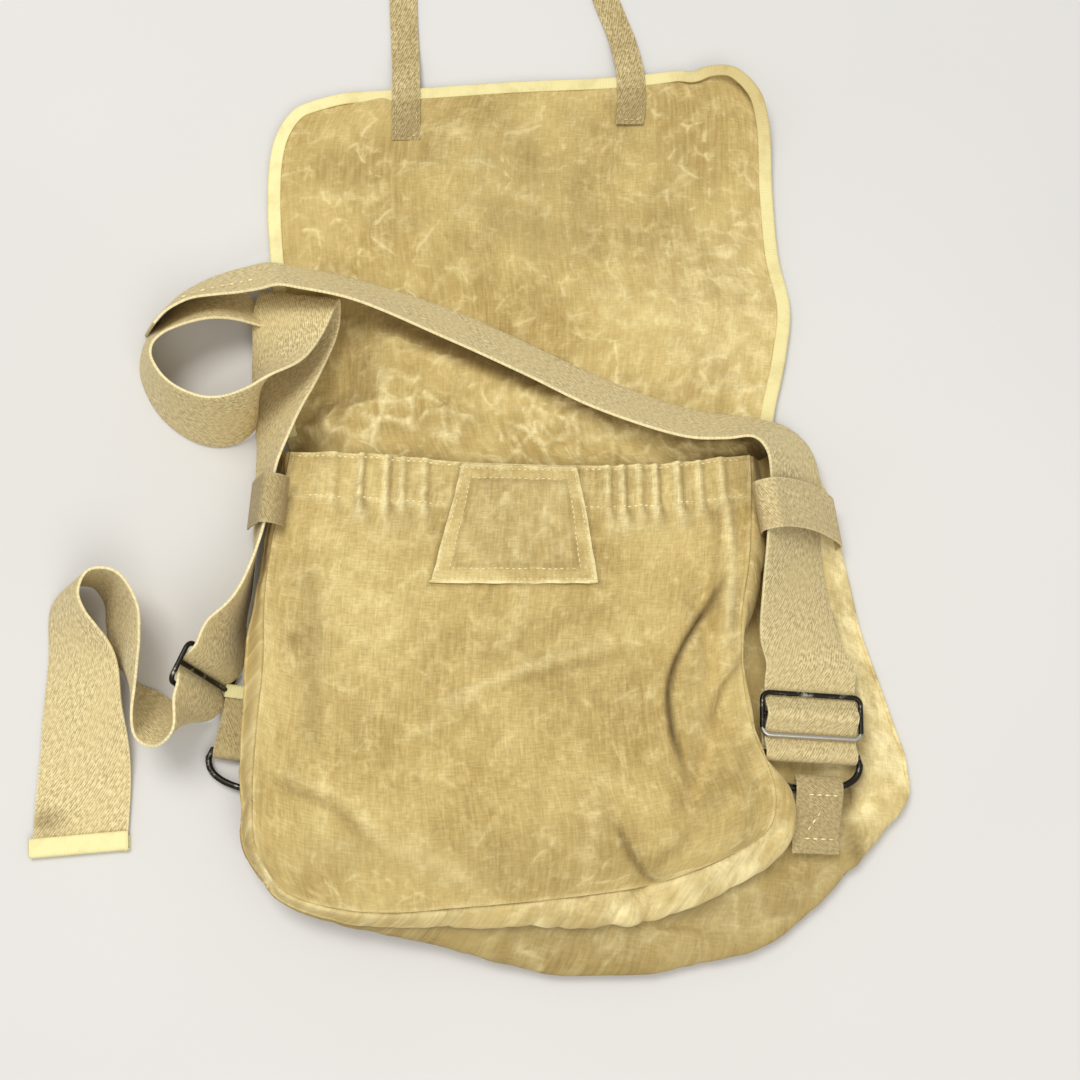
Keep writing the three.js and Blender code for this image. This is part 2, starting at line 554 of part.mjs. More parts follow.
// Slide buckle: a rounded frame with a middle bar
function roundedRectangle(shape, length, width, corner) {
  const [x, y] = [length / 2, width / 2];
  shape.moveTo(-x + corner, -y);
  shape.lineTo(x - corner, -y);
  shape.absarc(x - corner, -y + corner, corner, -Math.PI / 2, 0, false);
  shape.lineTo(x, y - corner);
  shape.absarc(x - corner, y - corner, corner, 0, Math.PI / 2, false);
  shape.lineTo(-x + corner, y);
  shape.absarc(-x + corner, y - corner, corner, Math.PI / 2, Math.PI, false);
  shape.lineTo(-x, -y + corner);
  shape.absarc(-x + corner, -y + corner, corner, Math.PI, Math.PI * 1.5, false);
  return shape;
}
function addBuckle(name, frame) {
  const chamfer = 0.6;
  const outline = roundedRectangle(new THREE.Shape(), BUCKLE_LENGTH - 2 * chamfer, BUCKLE_WIDTH - 2 * chamfer, BUCKLE_CORNER);
  const slot = BAR_PITCH - BUCKLE_WIRE + 2 * chamfer;
  const reach = BUCKLE_LENGTH / 2 - BUCKLE_WIRE + chamfer;
  for (const side of [-1, 1]) {
    const hole = new THREE.Path();
    const middle = side * BAR_PITCH / 2;
    hole.moveTo(-reach, middle - slot / 2);
    hole.lineTo(-reach, middle + slot / 2);
    hole.lineTo(reach, middle + slot / 2);
    hole.lineTo(reach, middle - slot / 2);
    hole.closePath();
    outline.holes.push(hole);
  }
  const geometry = new THREE.ExtrudeGeometry(outline, {
    depth: BUCKLE_WIRE - 2 * chamfer, bevelEnabled: true, bevelThickness: chamfer, bevelSize: chamfer, bevelSegments: 1,
    curveSegments: 4 });
  geometry.translate(0, 0, -BUCKLE_WIRE / 2 + chamfer);
  geometry.applyMatrix4(frame.matrix);
  const material = new THREE.MeshStandardMaterial({ color: COLOURS.steel, roughness: 0.5, metalness: 0.9 });
  const mesh = new THREE.Mesh(geometry, material);
  mesh.name = name;
  group.add(mesh);
}

// D-ring: a straight bar and a bow, of round wire
function addRing(name, frame, at, side) {
  const half = RING_LENGTH / 2 - RING_WIRE / 2;
  const deep = RING_DEPTH - RING_WIRE;
  const line = [];
  for (let k = 0; k <= 4; k += 1) line.push([half * (1 - share(k, 2)), 0]);
  const bow = 14;
  for (let k = 1; k < bow; k += 1) {
    const turn = Math.PI * share(k, bow);
    line.push([-half * Math.cos(turn) * (1 - 0.06 * Math.sin(turn)), deep * Math.sin(turn) ** 0.55]);
  }
  const centres = line.map(([w, s]) => frame.at(at.s + side * s, at.n, w));
  const count = centres.length;
  const points = [];
  centres.forEach((centre, k) => {
    const tangent = centres[(k + 1) % count].clone().sub(centres[(k + count - 1) % count]).normalize();
    const aside = tangent.clone().cross(frame.face).normalize();
    for (let m = 0; m < RING_SIDES; m += 1) {
      const turn = 2 * Math.PI * share(m + 0.5, RING_SIDES);
      points.push(centre.clone().addScaledVector(aside, RING_WIRE / 2 * Math.cos(turn))
        .addScaledVector(frame.face, RING_WIRE / 2 * Math.sin(turn)));
    }
  });
  const faces = [];
  for (let k = 0; k < count; k += 1) {
    for (let m = 0; m < RING_SIDES; m += 1) {
      const [a, b] = [k * RING_SIDES + m, k * RING_SIDES + (m + 1) % RING_SIDES];
      const after = ((k + 1) % count) * RING_SIDES;
      const [c, d] = [after + (m + 1) % RING_SIDES, after + m];
      faces.push([a, b, c], [a, c, d]);
    }
  }
  addBody(name, points, faces, COLOURS.steel, 0.5, 0.9);
}

// Right side: buckle, ring, its tab, and the strap up to the sewn join
const rightFrame = strapFrame(BUCKLE_AT[0]);
const leftFrame = strapFrame(BUCKLE_AT[1]);
const leftRingFrame = strapFrame(LEFT_RING);
addBuckle('buckle_right', rightFrame);
addRing('ring_right', rightFrame, RIGHT_RING_AT, -1);
addStrap('ring_tab_right', threaded(rightFrame, RIGHT_TAB, RIGHT_TAB_ASIDE), TAB_WIDTH, TAB_WALL, 2, COLOURS.webbing);
addStrap('strap_right', [...threaded(rightFrame, RIGHT_THREADING), ...placed(STRAP_RIGHT)],
  WEB_WIDTH, WEB, STRAP_STEPS, COLOURS.webbing);

// Left side: buckle, ring, its loop and tab, and the strap from the join to its free end
addBuckle('buckle_left', leftFrame);
addRing('ring_left', leftRingFrame, { s: 0, n: 0 }, -1);
addStrap('ring_loop_left', threaded(leftRingFrame, LEFT_LOOP), WEB_WIDTH, WEB, 2, COLOURS.webbing);
addStrap('ring_tab_left', threaded(leftRingFrame, LEFT_TAB, LEFT_TAB_ASIDE), TAB_WIDTH, TAB_WALL, 2, COLOURS.webbing);
addStrap('strap_left', [...placed(STRAP_LEFT), ...threaded(leftFrame, LEFT_THREADING), ...placed(STRAP_TAIL)],
  WEB_WIDTH, WEB, STRAP_STEPS, COLOURS.webbing);

// Tape round the strap's free end
const tail = STRAP_TAIL[STRAP_TAIL.length - 1];
const tailWay = widthWay(tail.heading, 0);
const tailOn = V(tailWay.y, -tailWay.x, 0);
const tailSections = [-1, 1].map((side) => {
  const at = (s, n) => V(tail.x, tail.y, tail.z).addScaledVector(tailOn, s)
    .addScaledVector(tailWay, side * (WEB_WIDTH / 2 + 1)).add(V(0, 0, n));
  const inside = WEB / 2 + GAP;
  const outside = inside + TAPE;
  return [at(-TAIL_TAPE_WIDTH, outside), at(GAP + TAPE, outside), at(GAP + TAPE, -outside), at(-TAIL_TAPE_WIDTH, -outside),
    at(-TAIL_TAPE_WIDTH, -inside), at(GAP, -inside), at(GAP, inside), at(-TAIL_TAPE_WIDTH, inside)];
});
addLoft('tail_binding', tailSections, [[0, 1, 6], [0, 6, 7], [1, 2, 5], [1, 5, 6], [2, 3, 4], [2, 4, 5]], COLOURS.tape, 0.9);

// Keepers
function addKeeper(name, row, path) {
  const frame = strapFrame(row);
  const stations = path.map((r) => ({ point: frame.at(0, r.n, r.w), way: frame.along }));
  addStrap(name, stations, KEEPER_WIDTH, KEEPER_WALL, 2, COLOURS.webbing);
}
addKeeper('keeper_right', RIGHT_KEEPER, RIGHT_KEEPER_PATH);
addKeeper('keeper_left', LEFT_KEEPER, LEFT_KEEPER_PATH);

// Closing straps
addStrap('flap_strap_left', placed(CLOSING_LEFT), CLOSING_WIDTH, CLOSING_WALL, 2, COLOURS.closing);
addStrap('flap_strap_right', placed(CLOSING_RIGHT), CLOSING_WIDTH, CLOSING_WALL, 2, COLOURS.closing);

export default group;
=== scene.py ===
"""Canvas shoulder bag, lying on its back with the flap opened: the looks of every piece."""

import math
from bisect import bisect_right
from collections import namedtuple

import bmesh
import bpy
from bpy.props import FloatProperty, FloatVectorProperty, PointerProperty
from mathutils import Matrix, Vector, noise


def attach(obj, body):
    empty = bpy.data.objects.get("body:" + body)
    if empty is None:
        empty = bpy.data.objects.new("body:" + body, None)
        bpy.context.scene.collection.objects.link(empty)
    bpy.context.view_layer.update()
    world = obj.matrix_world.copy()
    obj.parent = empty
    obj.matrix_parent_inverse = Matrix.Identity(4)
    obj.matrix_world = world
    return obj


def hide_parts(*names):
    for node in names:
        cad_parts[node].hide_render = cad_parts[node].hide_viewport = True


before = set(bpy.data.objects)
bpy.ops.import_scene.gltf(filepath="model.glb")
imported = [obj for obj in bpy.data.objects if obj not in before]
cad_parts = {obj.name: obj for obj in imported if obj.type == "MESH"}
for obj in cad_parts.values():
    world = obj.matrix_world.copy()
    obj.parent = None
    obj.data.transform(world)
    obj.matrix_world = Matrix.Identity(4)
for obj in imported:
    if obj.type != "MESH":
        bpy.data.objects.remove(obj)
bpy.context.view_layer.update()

bl_info = {
    "name": "Canvas shoulder bag",
    "version": (1, 0, 0),
    "blender": (4, 5, 0),
    "location": "View3D > Sidebar > Bag",
    "description": "Cloth, webbing, fittings and stage of a canvas shoulder bag",
    "category": "Add Mesh",
}

# Tables hold millimetres, Blender holds metres
MM = 0.001
UP = Vector((0, 0, 1))

# Noise starts from one seed, so that every run bends the creases alike
NOISE_SEED = 7
noise.seed_set(NOISE_SEED)


def table(columns, rows):
    """A short table, with its columns by name."""
    row = namedtuple("Row", columns)
    return [row(*values) for values in rows]


# Walls and widths of cloth, webbing and tape
CANVAS = 1.6
HEM_WIDTH = 26
PATCH_WALL = 1.0
WEB = 2.2
WEB_WIDTH = 51
KEEPER_WALL = 1.6
KEEPER_WIDTH = 27
TAB_WALL = 1.6
TAB_WIDTH = 26
TAPE = 0.8
TAPE_WIDTH = 6.5
TAPE_SHOWN = 2.5
TAPE_UNDER = 6.5
CLOSING_WIDTH = 17
CLOSING_WALL = 1.6
TAIL_TAPE_WIDTH = 8.5
LOOP_TAPE_WIDTH = 6.0
GAP = 0.3
SEAM = 0.6

# Share of the webbing's wall that is drawn, and rounding of cut edges
DRAWN_WALL = 0.68
WEB_ROUND = 0.35
CANVAS_ROUND = 0.4
PATCH_ROUND = 0.3

# Slide buckles and rings
BUCKLE_LENGTH = 58
BUCKLE_WIDTH = 25
BUCKLE_WIRE = 2.8
BUCKLE_CORNER = 4
CORNER_STEPS = 6
BAR_PITCH = (BUCKLE_WIDTH - BUCKLE_WIRE) / 2
RING_LENGTH = 60
RING_DEPTH = 22
RING_WIRE = 3.6
BAR_STEPS = 12
BOW_STEPS = 40

# Sizes of the panels as they lie, the front panel's crown and the flap's lift off the surface
FRONT_WIDTH = 265
FRONT_WAIST = 260
FRONT_HEIGHT = 235
FRONT_CROWN = 9
FLAP_WIDTH = 290
FLAP_TOP_WIDTH = 250
FLAP_HEIGHT = 235
FLAP_LIFT = 2.5
BACK_WIDTH = 300
BACK_LENGTH = 510
GUSSET_LENGTH = 780

# Flat measures that the weave of the front, and of the back with the flap, is laid out by
FRONT_FLAT = (268, 242)
BACK_FLAT = (296, 505)

# Cells of the cloth's mesh: the back's and flap's are coarser than the front's
BACK_FINENESS = 0.68
GUSSET_ROWS = 90
GUSSET_CELL = 2.2
PATCH_CELLS = (70, 58)
TAPE_CELLS = 14

# The hem's two sewn rows, as shares of the front panel's height
HEM_SHARE = 1 - HEM_WIDTH / FRONT_HEIGHT
HEM_EDGE_ROW = 2.2
HEM_ROWS = (1 - HEM_EDGE_ROW / FRONT_HEIGHT, HEM_SHARE)

# A pucker in the flap's top edge, and the rolled corner to the right of it
PUCKER = namedtuple("Pucker", "x width depth reach")(76, 6, 2.6, 24)
CORNER = namedtuple("Corner", "x y reach edge roll")(102, 364, 25, 10, 7)

# Edges of the front panel, left and right from the bottom up, bottom and top from left to right
FRONT_LEFT = [
    (-156, -98, 30), (-163, -84, 33), (-165, -60, 37), (-164, -25, 40), (-162, 8, 41),
    (-163, 43, 40), (-161, 77, 37), (-157, 106, 33), (-155, 129, 28)]
FRONT_RIGHT = [
    (92, -83, 35), (101, -75, 36), (104.5, -62, 38), (101.5, -47, 40), (94.5, -30, 41), (90, -9, 41),
    (88.5, 12, 41), (90, 38, 40), (95, 66, 38), (98, 100, 34), (99, 127, 29)]
FRONT_BOTTOM = [
    (-156, -98, 30), (-149, -106, 30), (-139, -111, 30), (-114, -116.5, 31), (-89, -117.5, 32),
    (-63, -115.5, 33), (-27, -112.5, 34), (14, -108, 34), (39, -104, 34), (65, -95.5, 34),
    (82, -88, 34.5), (92, -83, 35)]
FRONT_TOP = [
    (-155, 129, 28), (-111, 127, 29), (-61, 122.5, 30), (-28, 121.3, 30), (5, 120.5, 30),
    (49, 121, 30), (99, 127, 29)]

# Edges of the back panel and of the opened flap
BACK_LEFT = [
    (-122, -99, 0), (-124, -80, 0), (-124, -40, 0), (-126, 10, 0), (-134, 60, 0), (-146, 104, 0),
    (-160, 138, 0)]
BACK_RIGHT = [
    (162, -73, 0), (172, -59, 0), (175, -44, 0), (169, -22, 0), (161, 5, 0), (154, 28, 0), (148.5, 50, 0),
    (144, 75, 0), (139.5, 98, 0), (131, 120, 0), (118, 138, 0)]
BACK_BOTTOM = [
    (-122, -99, 0), (-108, -107, 0), (-92, -114, 0), (-46, -130, 0), (-12, -140, 0), (14, -141, 0),
    (40, -140, 0), (70, -134, 0), (97, -127, 0), (133, -101, 0), (162, -73, 0)]
BACK_TOP = [(-160, 138, 0), (118, 138, 0)]
FLAP_LEFT = [
    (-160, 138, 0), (-166, 160, 0), (-170, 212, 0), (-178, 290, 0), (-177.5, 322, 0), (-173, 339, 0),
    (-164, 352, 0), (-152, 358, 0)]
FLAP_RIGHT = [
    (118, 138, 0), (115.5, 152, 0), (124, 193, 0), (128, 224, 0), (122.5, 256, 0), (120.5, 295, 0),
    (119.5, 338, 0), (115, 356, 0), (108, 366, 0)]
FLAP_TOP = [
    (-152, 358, 0), (-136, 363, 0), (-102, 366, 0), (-41, 370, 0), (20, 374, 0), (81, 378, 0), (98, 375, 0),
    (108, 366, 0)]

# Folds of the front panel: a ridge, or a valley where the height is negative, along a bowed line
FRONT_FOLDS = table("x1 y1 x2 y2 bow width height", [
    (69, 38, 60, -64, 11, 9, -8),
    (84, 34, 84, -72, 0, 13, 7),
    (24, -72, 42, -108, 0, 7, -6),
    (60, -70, 66, -98, 0, 10, 3),
    (-96, -24, 26, 26, 3, 15, 3),
    (-147, 62, -150, -66, -4, 9, -3),
    (-132, 128, -138, 84, 0, 7, 3),
    (-108, 128, -112, 80, 0, 7, 3),
    (-84, 126, -88, 84, 0, 7, 2.5),
    (36, 123, 40, 82, 0, 7, 2.5),
    (58, 124, 62, 80, 0, 7, 3),
    (80, 127, 84, 86, 0, 7, 3)])

# Soft folds of the front panel that are too fine for the solid, on the same rule
FINE_FOLDS = table("x1 y1 x2 y2 bow width height", [
    (-58, -10, 8, 14, 2, 3, 1.5),
    (-50, -14, 12, 8, 3, 2.5, -1.2),
    (-73, -25, -40, -10, 2, 3, 1.1),
    (-140, 47, -137, -23, 2, 6, -1.8),
    (-146, -57, -107, -83, 5, 3, -2.0),
    (-140, -52, -102, -78, 5, 3.5, 1.2),
    (-120, -84, -60, -98, 3, 6, 1.0),
    (84, 88, 82, 30, 2, 3, 2.4),
    (78, 92, 76, 50, 1, 2.5, -1.8),
    (90, -38, 70, -62, 3, 5, -1.4),
    (12, -60, 4, -100, 2, 6, 0.9),
    (-20, 62, -34, 24, 2, 7, 0.8)])

# Sharp creases of the front panel: points, depth and width of the line, and the swelling on its left
CREASES = table("points depth width swell reach", [
    (((81, 56), (73, 41), (64, 28), (56, 14), (51.5, 3), (49.5, -8), (50, -18), (52, -30), (59, -52)),
     4.2, 2.2, 5.0, 14),
    (((92, 26), (89, 13), (84, 5), (78.5, -2), (74, -13), (72, -26)), 2.2, 2.4, 2.2, 8),
    (((21, -70), (25, -79), (29, -87), (34, -95), (41, -102), (47, -104)), 2.3, 2.2, 2.5, 10),
    (((62, -74), (50, -88), (36, -98)), 1.0, 3.0, 1.0, 8)])

# Gathers of the hem: place along the panel's top edge, width and height of each pucker
GATHERS = table("x width height", [
    (-130, 1.8, 0.6), (-115, 1.3, 1.5), (-101, 1.3, 1.4), (-92, 1.2, 1.0), (-80, 1.4, 0.9),
    (20, 1.2, 1.0), (28, 1.3, 1.4), (37, 1.2, 0.8), (46, 1.4, 1.5), (58, 1.3, 1.3), (70, 1.5, 1.1),
    (82, 1.6, 0.7)])

# Slow waves of the flap: a swelling at a point
FLAP_WAVES = table("x y reach height", [
    (112, 366, 42, 8), (-168, 350, 36, 3), (60, 250, 60, 2.5), (-90, 300, 70, 2), (-30, 352, 40, 2)])

# The gusset from the mouth's right end (0) round the bottom corners (1, 2) to its left end (3)
GUSSET = table("at shoulder_out shoulder_drop skirt_out skirt_z ledge", [
    (0.00, 6, 8, 8, 5, 0),
    (0.15, 7, 8, 9, 6, 5),
    (0.32, 8, 6, 8, 5, 12),
    (0.46, 7, 7, 8, 5, 13),
    (0.58, -5, 20, 8, 5, 0),
    (0.76, -4, 16, 8, 5, 4),
    (0.83, 5, 6, 8, 6, 14),
    (0.90, 10, 4, 8, 6, 17),
    (0.96, 13, 6, 6, 7, 12),
    (1.00, 14, 9, 4.5, 7, 8),
    (1.06, 16, 13, 6, 7, 4),
    (1.25, 17, 9, 8, 7, 5),
    (1.50, 12, 7, 8, 7, 4),
    (1.75, 6, 7, 9, 8, 2),
    (1.92, 5, 8, 12, 6, 0),
    (2.10, 7, 9, 7, 4.8, 0),
    (2.45, 10, 9, 7, 4.8, 0),
    (2.62, 5, 8, 10, 6, 0),
    (2.85, 3, 7, 9, 7, 0),
    (3.00, 3, 7, 6, 6, 0)])
# Folds of the gusset's cloth, on the front panel's rule
GUSSET_FOLDS = table("x1 y1 x2 y2 bow width height", [
    (157, 31, 176, -28, 0, 7, 3),
    (140, 40, 146, 2, 2, 4, -2),
    (147.5, 0, 142.7, -64, 9.7, 5, -3),
    (148, -60, 149.6, -85, -2, 4, -2.4),
    (180, -46, 152, -66, 0, 6, 2.6),
    (152, -94, 120, -108, 0, 5, 1.6),
    (112, -120, 62, -131, 2, 5, 1.4),
    (60, -121, 4, -134, 3, 6, 1.4),
    (-10, -130, -66, -121, 2, 6, 1.2),
    (84, -97, 70, -106, 0, 4, 1.2),
    (30, -112, 20, -122, 0, 4, 1.2)])
RIM_ACROSS = 26
RIM_ALONG = 16
HEM_CELLS = 3

# Trapezoid patch, as shares of the front panel across (u) and up (v)
PATCH = namedtuple("Patch", "top_left top_right bottom_left bottom_right low high")(
    0.375, 0.622, 0.345, 0.683, 0.70, 0.994)
PATCH_SIZE = (78, 64)
PATCH_SPAN = 240
PATCH_ROWS = (2.2, 7.5)

# Shoulder strap stations: the middle, and the way to the raised edge as heading and lean
STRAP = "x y z heading lean"
STRAP_RIGHT = table(STRAP, [
    (122.6, 22, 30.6, 179, 24),
    (120.6, 50, 30.2, -175, 39),
    (121, 74, 30.6, -172, 46),
    (122.4, 98, 31.2, -165, 47),
    (123, 115.5, 31.5, -158, 46),
    (119.5, 131, 30.5, -152, 50),
    (110, 140.5, 30, -140, 54),
    (90.5, 143, 29, -120, 54),
    (65.5, 146, 28, -105, 54),
    (15, 164.5, 27, -93, 50),
    (-30, 187.5, 25.8, -78, 44),
    (-70, 206, 26.2, -75, 44),
    (-125, 226.5, 28.4, -72, 51),
    (-154, 232, 31, -74, 52),
    (-168.3, 234, 32, -67, 49),
    (-180, 233.5, 27.8, -64, 48),
    (-193, 232.4, 23.8, -62, 49),
    (-207.4, 229.6, 21.8, -58, 53),
    (-219.1, 224.6, 22.4, -50, 58),
    (-227.5, 218, 23, -42, 62),
    (-234.3, 211, 23.4, -36, 64),
    (-239, 203, 23.9, -31, 66)])
STRAP_LEFT = table(STRAP, [
    (-184.5, 227.5, 9.5, -61, 20),
    (-200, 225.2, 15.5, -61, 35),
    (-210.5, 221.2, 18, -59, 44),
    (-219.5, 216, 19.3, -56, 49),
    (-228, 209.6, 20.8, -52, 54),
    (-234.8, 202.4, 22, -46, 59),
    (-239.2, 193.5, 23.1, -36, 64),
    (-240, 184.5, 23.9, -20, 67),
    (-238, 177, 24.7, -8, 70),
    (-230, 164, 25, 8, 71),
    (-218, 154, 25, 28, 71),
    (-203, 148, 25, 48, 71),
    (-188, 149, 26, 66, 73),
    (-176.5, 156, 29, 62, 82),
    (-171, 171, 33, -30, 62),
    (-164, 187, 30.5, -30, 38),
    (-160, 203, 27.5, -20, 24),
    (-157, 215, 26.5, -14, 17),
    (-154.5, 226, 20, -14, 17),
    (-155, 215, 13.6, -14, 17),
    (-157, 204, 13, -12, 17),
    (-160, 189, 15, -11, 24),
    (-162, 172, 19, -9, 35),
    (-164, 153, 23, -9, 50),
    (-166, 136, 24.6, -14, 60),
    (-168.5, 120, 25.2, -20, 66),
    (-170, 98, 25.6, -22, 69),
    (-171.5, 77, 25.9, -18, 75),
    (-176, 52, 26.3, -10, 83),
    (-182, 35, 27.2, 90, 89)])
STRAP_TAIL = table(STRAP, [
    (-204.5, -20.5, 27, -66, 81),
    (-212.6, -20.5, 23.7, -76, 60),
    (-223.4, -17.5, 19.6, -82, 45),
    (-231.5, -13, 20.4, -78, 48),
    (-234.3, -6.7, 23.4, -66, 60),
    (-236.3, 1.5, 24.2, -39, 63),
    (-240.5, 15.5, 22.8, -22, 56),
    (-242.9, 30.5, 21.2, -22, 51),
    (-244.7, 44.5, 21.8, -17, 53),
    (-253.5, 57.5, 23, -2, 58),
    (-261.3, 59.4, 24.2, 3, 63),
    (-269.1, 57.5, 24, 0, 62),
    (-275, 47.2, 23, -2, 58),
    (-273.8, 37, 21.4, 0, 52),
    (-270.6, 28.6, 19.6, 4, 45),
    (-267.5, 19, 16.2, 8, 35),
    (-266, 8, 13.2, 11, 26),
    (-265, -14, 10.4, 11, 20),
    (-263.5, -33.5, 6, 9, 9),
    (-263.3, -50, 3, 5, 1),
    (-263.3, -70, 2.4, 0, 0),
    (-263.3, -86, 2.4, 0, 0)])

# Fittings: where each sits, and webbing round their bars as distance along and height over
PLACE = "x y z heading lean along"
BUCKLE_RIGHT, BUCKLE_LEFT = table(PLACE, [(126.8, -17, 28.5, 178, 12, 90), (-195.5, 4, 28.6, 150, 72, -112)])
LEFT_RING, = table(PLACE, [(-168, -36, 4.8, 172, 0, 82)])
KEEPER_RIGHT, KEEPER_LEFT = table(PLACE, [
    (123.4, 98, 31.5, -165, 43, 93), (-169.8, 100, 25.6, -22, 69, -93)])
RIGHT_RING_AT = (-20, -3.3)
RIGHT_THREADING = table("s n", [
    (14, -7.3), (0, -7.3), (-12, -7.2), (-19, -7.0), (-22.6, -5.9), (-23.8, -3.3), (-22.6, -0.7),
    (-19.4, 0.3),
    (-16, -1.6), (-BAR_PITCH, -3.0), (-6.5, -1.2), (0, 3.0), (6.5, -1.2), (BAR_PITCH, -3.0), (18, -2.2),
    (26, -0.8)])
LEFT_THREADING = table("s n", [
    (-26, -0.8), (-18, -2.2), (-BAR_PITCH, -3.0), (-6.5, -1.2), (0, 3.0), (6.5, -1.2), (BAR_PITCH, -3.0),
    (17, -2.6)])
RIGHT_TAB = table("s n", [
    (-58, -9.8), (-48, -8.8), (-40, -6.9), (-34, -5.9), (-31, -3.3), (-34, -0.7), (-40, -0.2), (-48, -2.8),
    (-58, -6.2), (-71, -7.6)])
RIGHT_TAB_ASIDE = -4
LEFT_LOOP = table("s n", [
    (35, -0.5), (23, -0.7), (14, -0.7), (6.5, 1.6), (1.5, 3.2), (-2.6, 2.5), (-3.7, 0), (-2.6, -2.5),
    (2, -3.3), (14, -3.4),
    (22, -3.4), (34, -3.4)])
LEFT_TAB = table("s n", [
    (-37, -3.4), (-30, -3.4), (-20, -3.3), (-11.6, -2.6), (-8.6, 0), (-11.6, 2.6), (-20, 3.3), (-30, 3.6),
    (-37, 4)])
LEFT_TAB_ASIDE = -13
KEEPER_RIGHT_PATH = table("w n", [
    (19, -13), (25.5, -8), (31.4, -1), (28.8, 6.2), (18, 6.8), (0, 7.4), (-18, 6.8), (-27.5, 5),
    (-30.4, -1)])
KEEPER_LEFT_PATH = table("w n", [
    (19, -10), (25.5, -7), (29.8, -1), (27.8, 4), (18, 4.4), (0, 4.8), (-16, 4.2)])
KEEPER_SLANT = 13

# Closing straps sewn to the flap's edge
CLOSING_LEFT = table(STRAP, [
    (-97.5, 332, 7.1, 180, 0), (-97.8, 350, 7.2, 180, 0), (-98.3, 369, 7.2, 180, 0),
    (-98.8, 382, 5.4, 180, 0),
    (-100, 398, 2.2, 180, 0), (-102, 432, 1.2, 180, 0), (-103, 480, 1.2, 180, 0), (-101, 530, 1.2, 180, 0)])
CLOSING_RIGHT = table(STRAP, [
    (37, 343, 6.4, 180, 0), (38.5, 358, 6.8, 180, 0), (38, 377, 7, 180, 0), (36, 390, 5.2, 180, 0),
    (33, 405, 2.2, 180, 0), (24, 432, 1.2, 180, 0), (12, 478, 1.2, 180, 0), (4, 526, 1.2, 180, 0)])
CLOSING_LENGTH = 198
CLOSING_SEWN = 26


# Lines and surfaces

def mixed(low, high, share):
    """A value or point between two others."""
    return low + (high - low) * share


def eased(value, low, high):
    """A smooth step from 0 at low to 1 at high."""
    t = min(max((value - low) / (high - low), 0.0), 1.0)
    return t * t * (3 - 2 * t)


def hump(distance, width):
    """A round bump, 1 at no distance."""
    return math.exp(-((distance / width) ** 2))


def between(p1, p2, m1, m2, t):
    """A point of the cubic from p1 to p2 that leaves along m1 and comes in along m2."""
    c2 = -3 * p1 + 3 * p2 - 2 * m1 - m2
    c3 = 2 * p1 - 2 * p2 + m1 + m2
    return p1 + m1 * t + c2 * (t * t) + c3 * (t * t * t)


class Line:
    """A smooth curve through points, read by its stations or evenly by its length."""

    def __init__(self, points, steps=16):
        self.points = [Vector(point) for point in points]
        first = 2 * self.points[0] - self.points[1]
        last = 2 * self.points[-1] - self.points[-2]
        self.fenced = [first, *self.points, last]
        self.count = steps * (len(self.points) - 1)
        spots = [self.station(k / self.count) for k in range(self.count + 1)]
        self.far = [0.0]
        for a, b in zip(spots, spots[1:]):
            self.far.append(self.far[-1] + (b - a).length)
        self.length = self.far[-1]

    def station(self, share):
        """The point at a share of the stations."""
        spans = len(self.points) - 1
        k = min(int(share * spans), spans - 1)
        p0, p1, p2, p3 = self.fenced[k:k + 4]
        d0, d1, d2 = (max((b - a).length, 1e-6) ** 0.5 for a, b in ((p0, p1), (p1, p2), (p2, p3)))
        m1 = ((p1 - p0) / d0 - (p2 - p0) / (d0 + d1) + (p2 - p1) / d1) * d1
        m2 = ((p2 - p1) / d1 - (p3 - p1) / (d1 + d2) + (p3 - p2) / d2) * d1
        return between(p1, p2, m1, m2, share * spans - k)

    def stations_at(self, share):
        """The share of the stations at a share of the length."""
        target = share * self.length
        k = min(max(bisect_right(self.far, target) - 1, 0), self.count - 1)
        step = max(self.far[k + 1] - self.far[k], 1e-9)
        return min(max((k + (target - self.far[k]) / step) / self.count, 0.0), 1.0)

    def at(self, share):
        """The point at a share of the length."""
        return self.station(self.stations_at(share))


class Panel:
    """A surface spanned between four edges."""

    def __init__(self, left, right, bottom, top):
        self.left, self.right, self.bottom, self.top = (Line(edge) for edge in (left, right, bottom, top))
        self.known = {}

    def edge(self, name, share):
        """A point of one edge, kept for the next call."""
        key = (name, round(share, 6))
        if key not in self.known:
            self.known[key] = getattr(self, name).at(share)
        return self.known[key]

    def at(self, u, v):
        """The point at a share across and a share up."""
        point = mixed(self.edge("bottom", u), self.edge("top", u), v)
        point = point + mixed(self.edge("left", v), self.edge("right", v), u)
        low = mixed(self.edge("bottom", 0), self.edge("bottom", 1), u)
        high = mixed(self.edge("top", 0), self.edge("top", 1), u)
        return point - mixed(low, high, v)


def width_way(heading, lean):
    """The way from a strap's low edge to its raised edge."""
    level = math.cos(math.radians(lean))
    turn = math.radians(heading)
    return Vector((level * math.cos(turn), level * math.sin(turn), math.sin(math.radians(lean))))


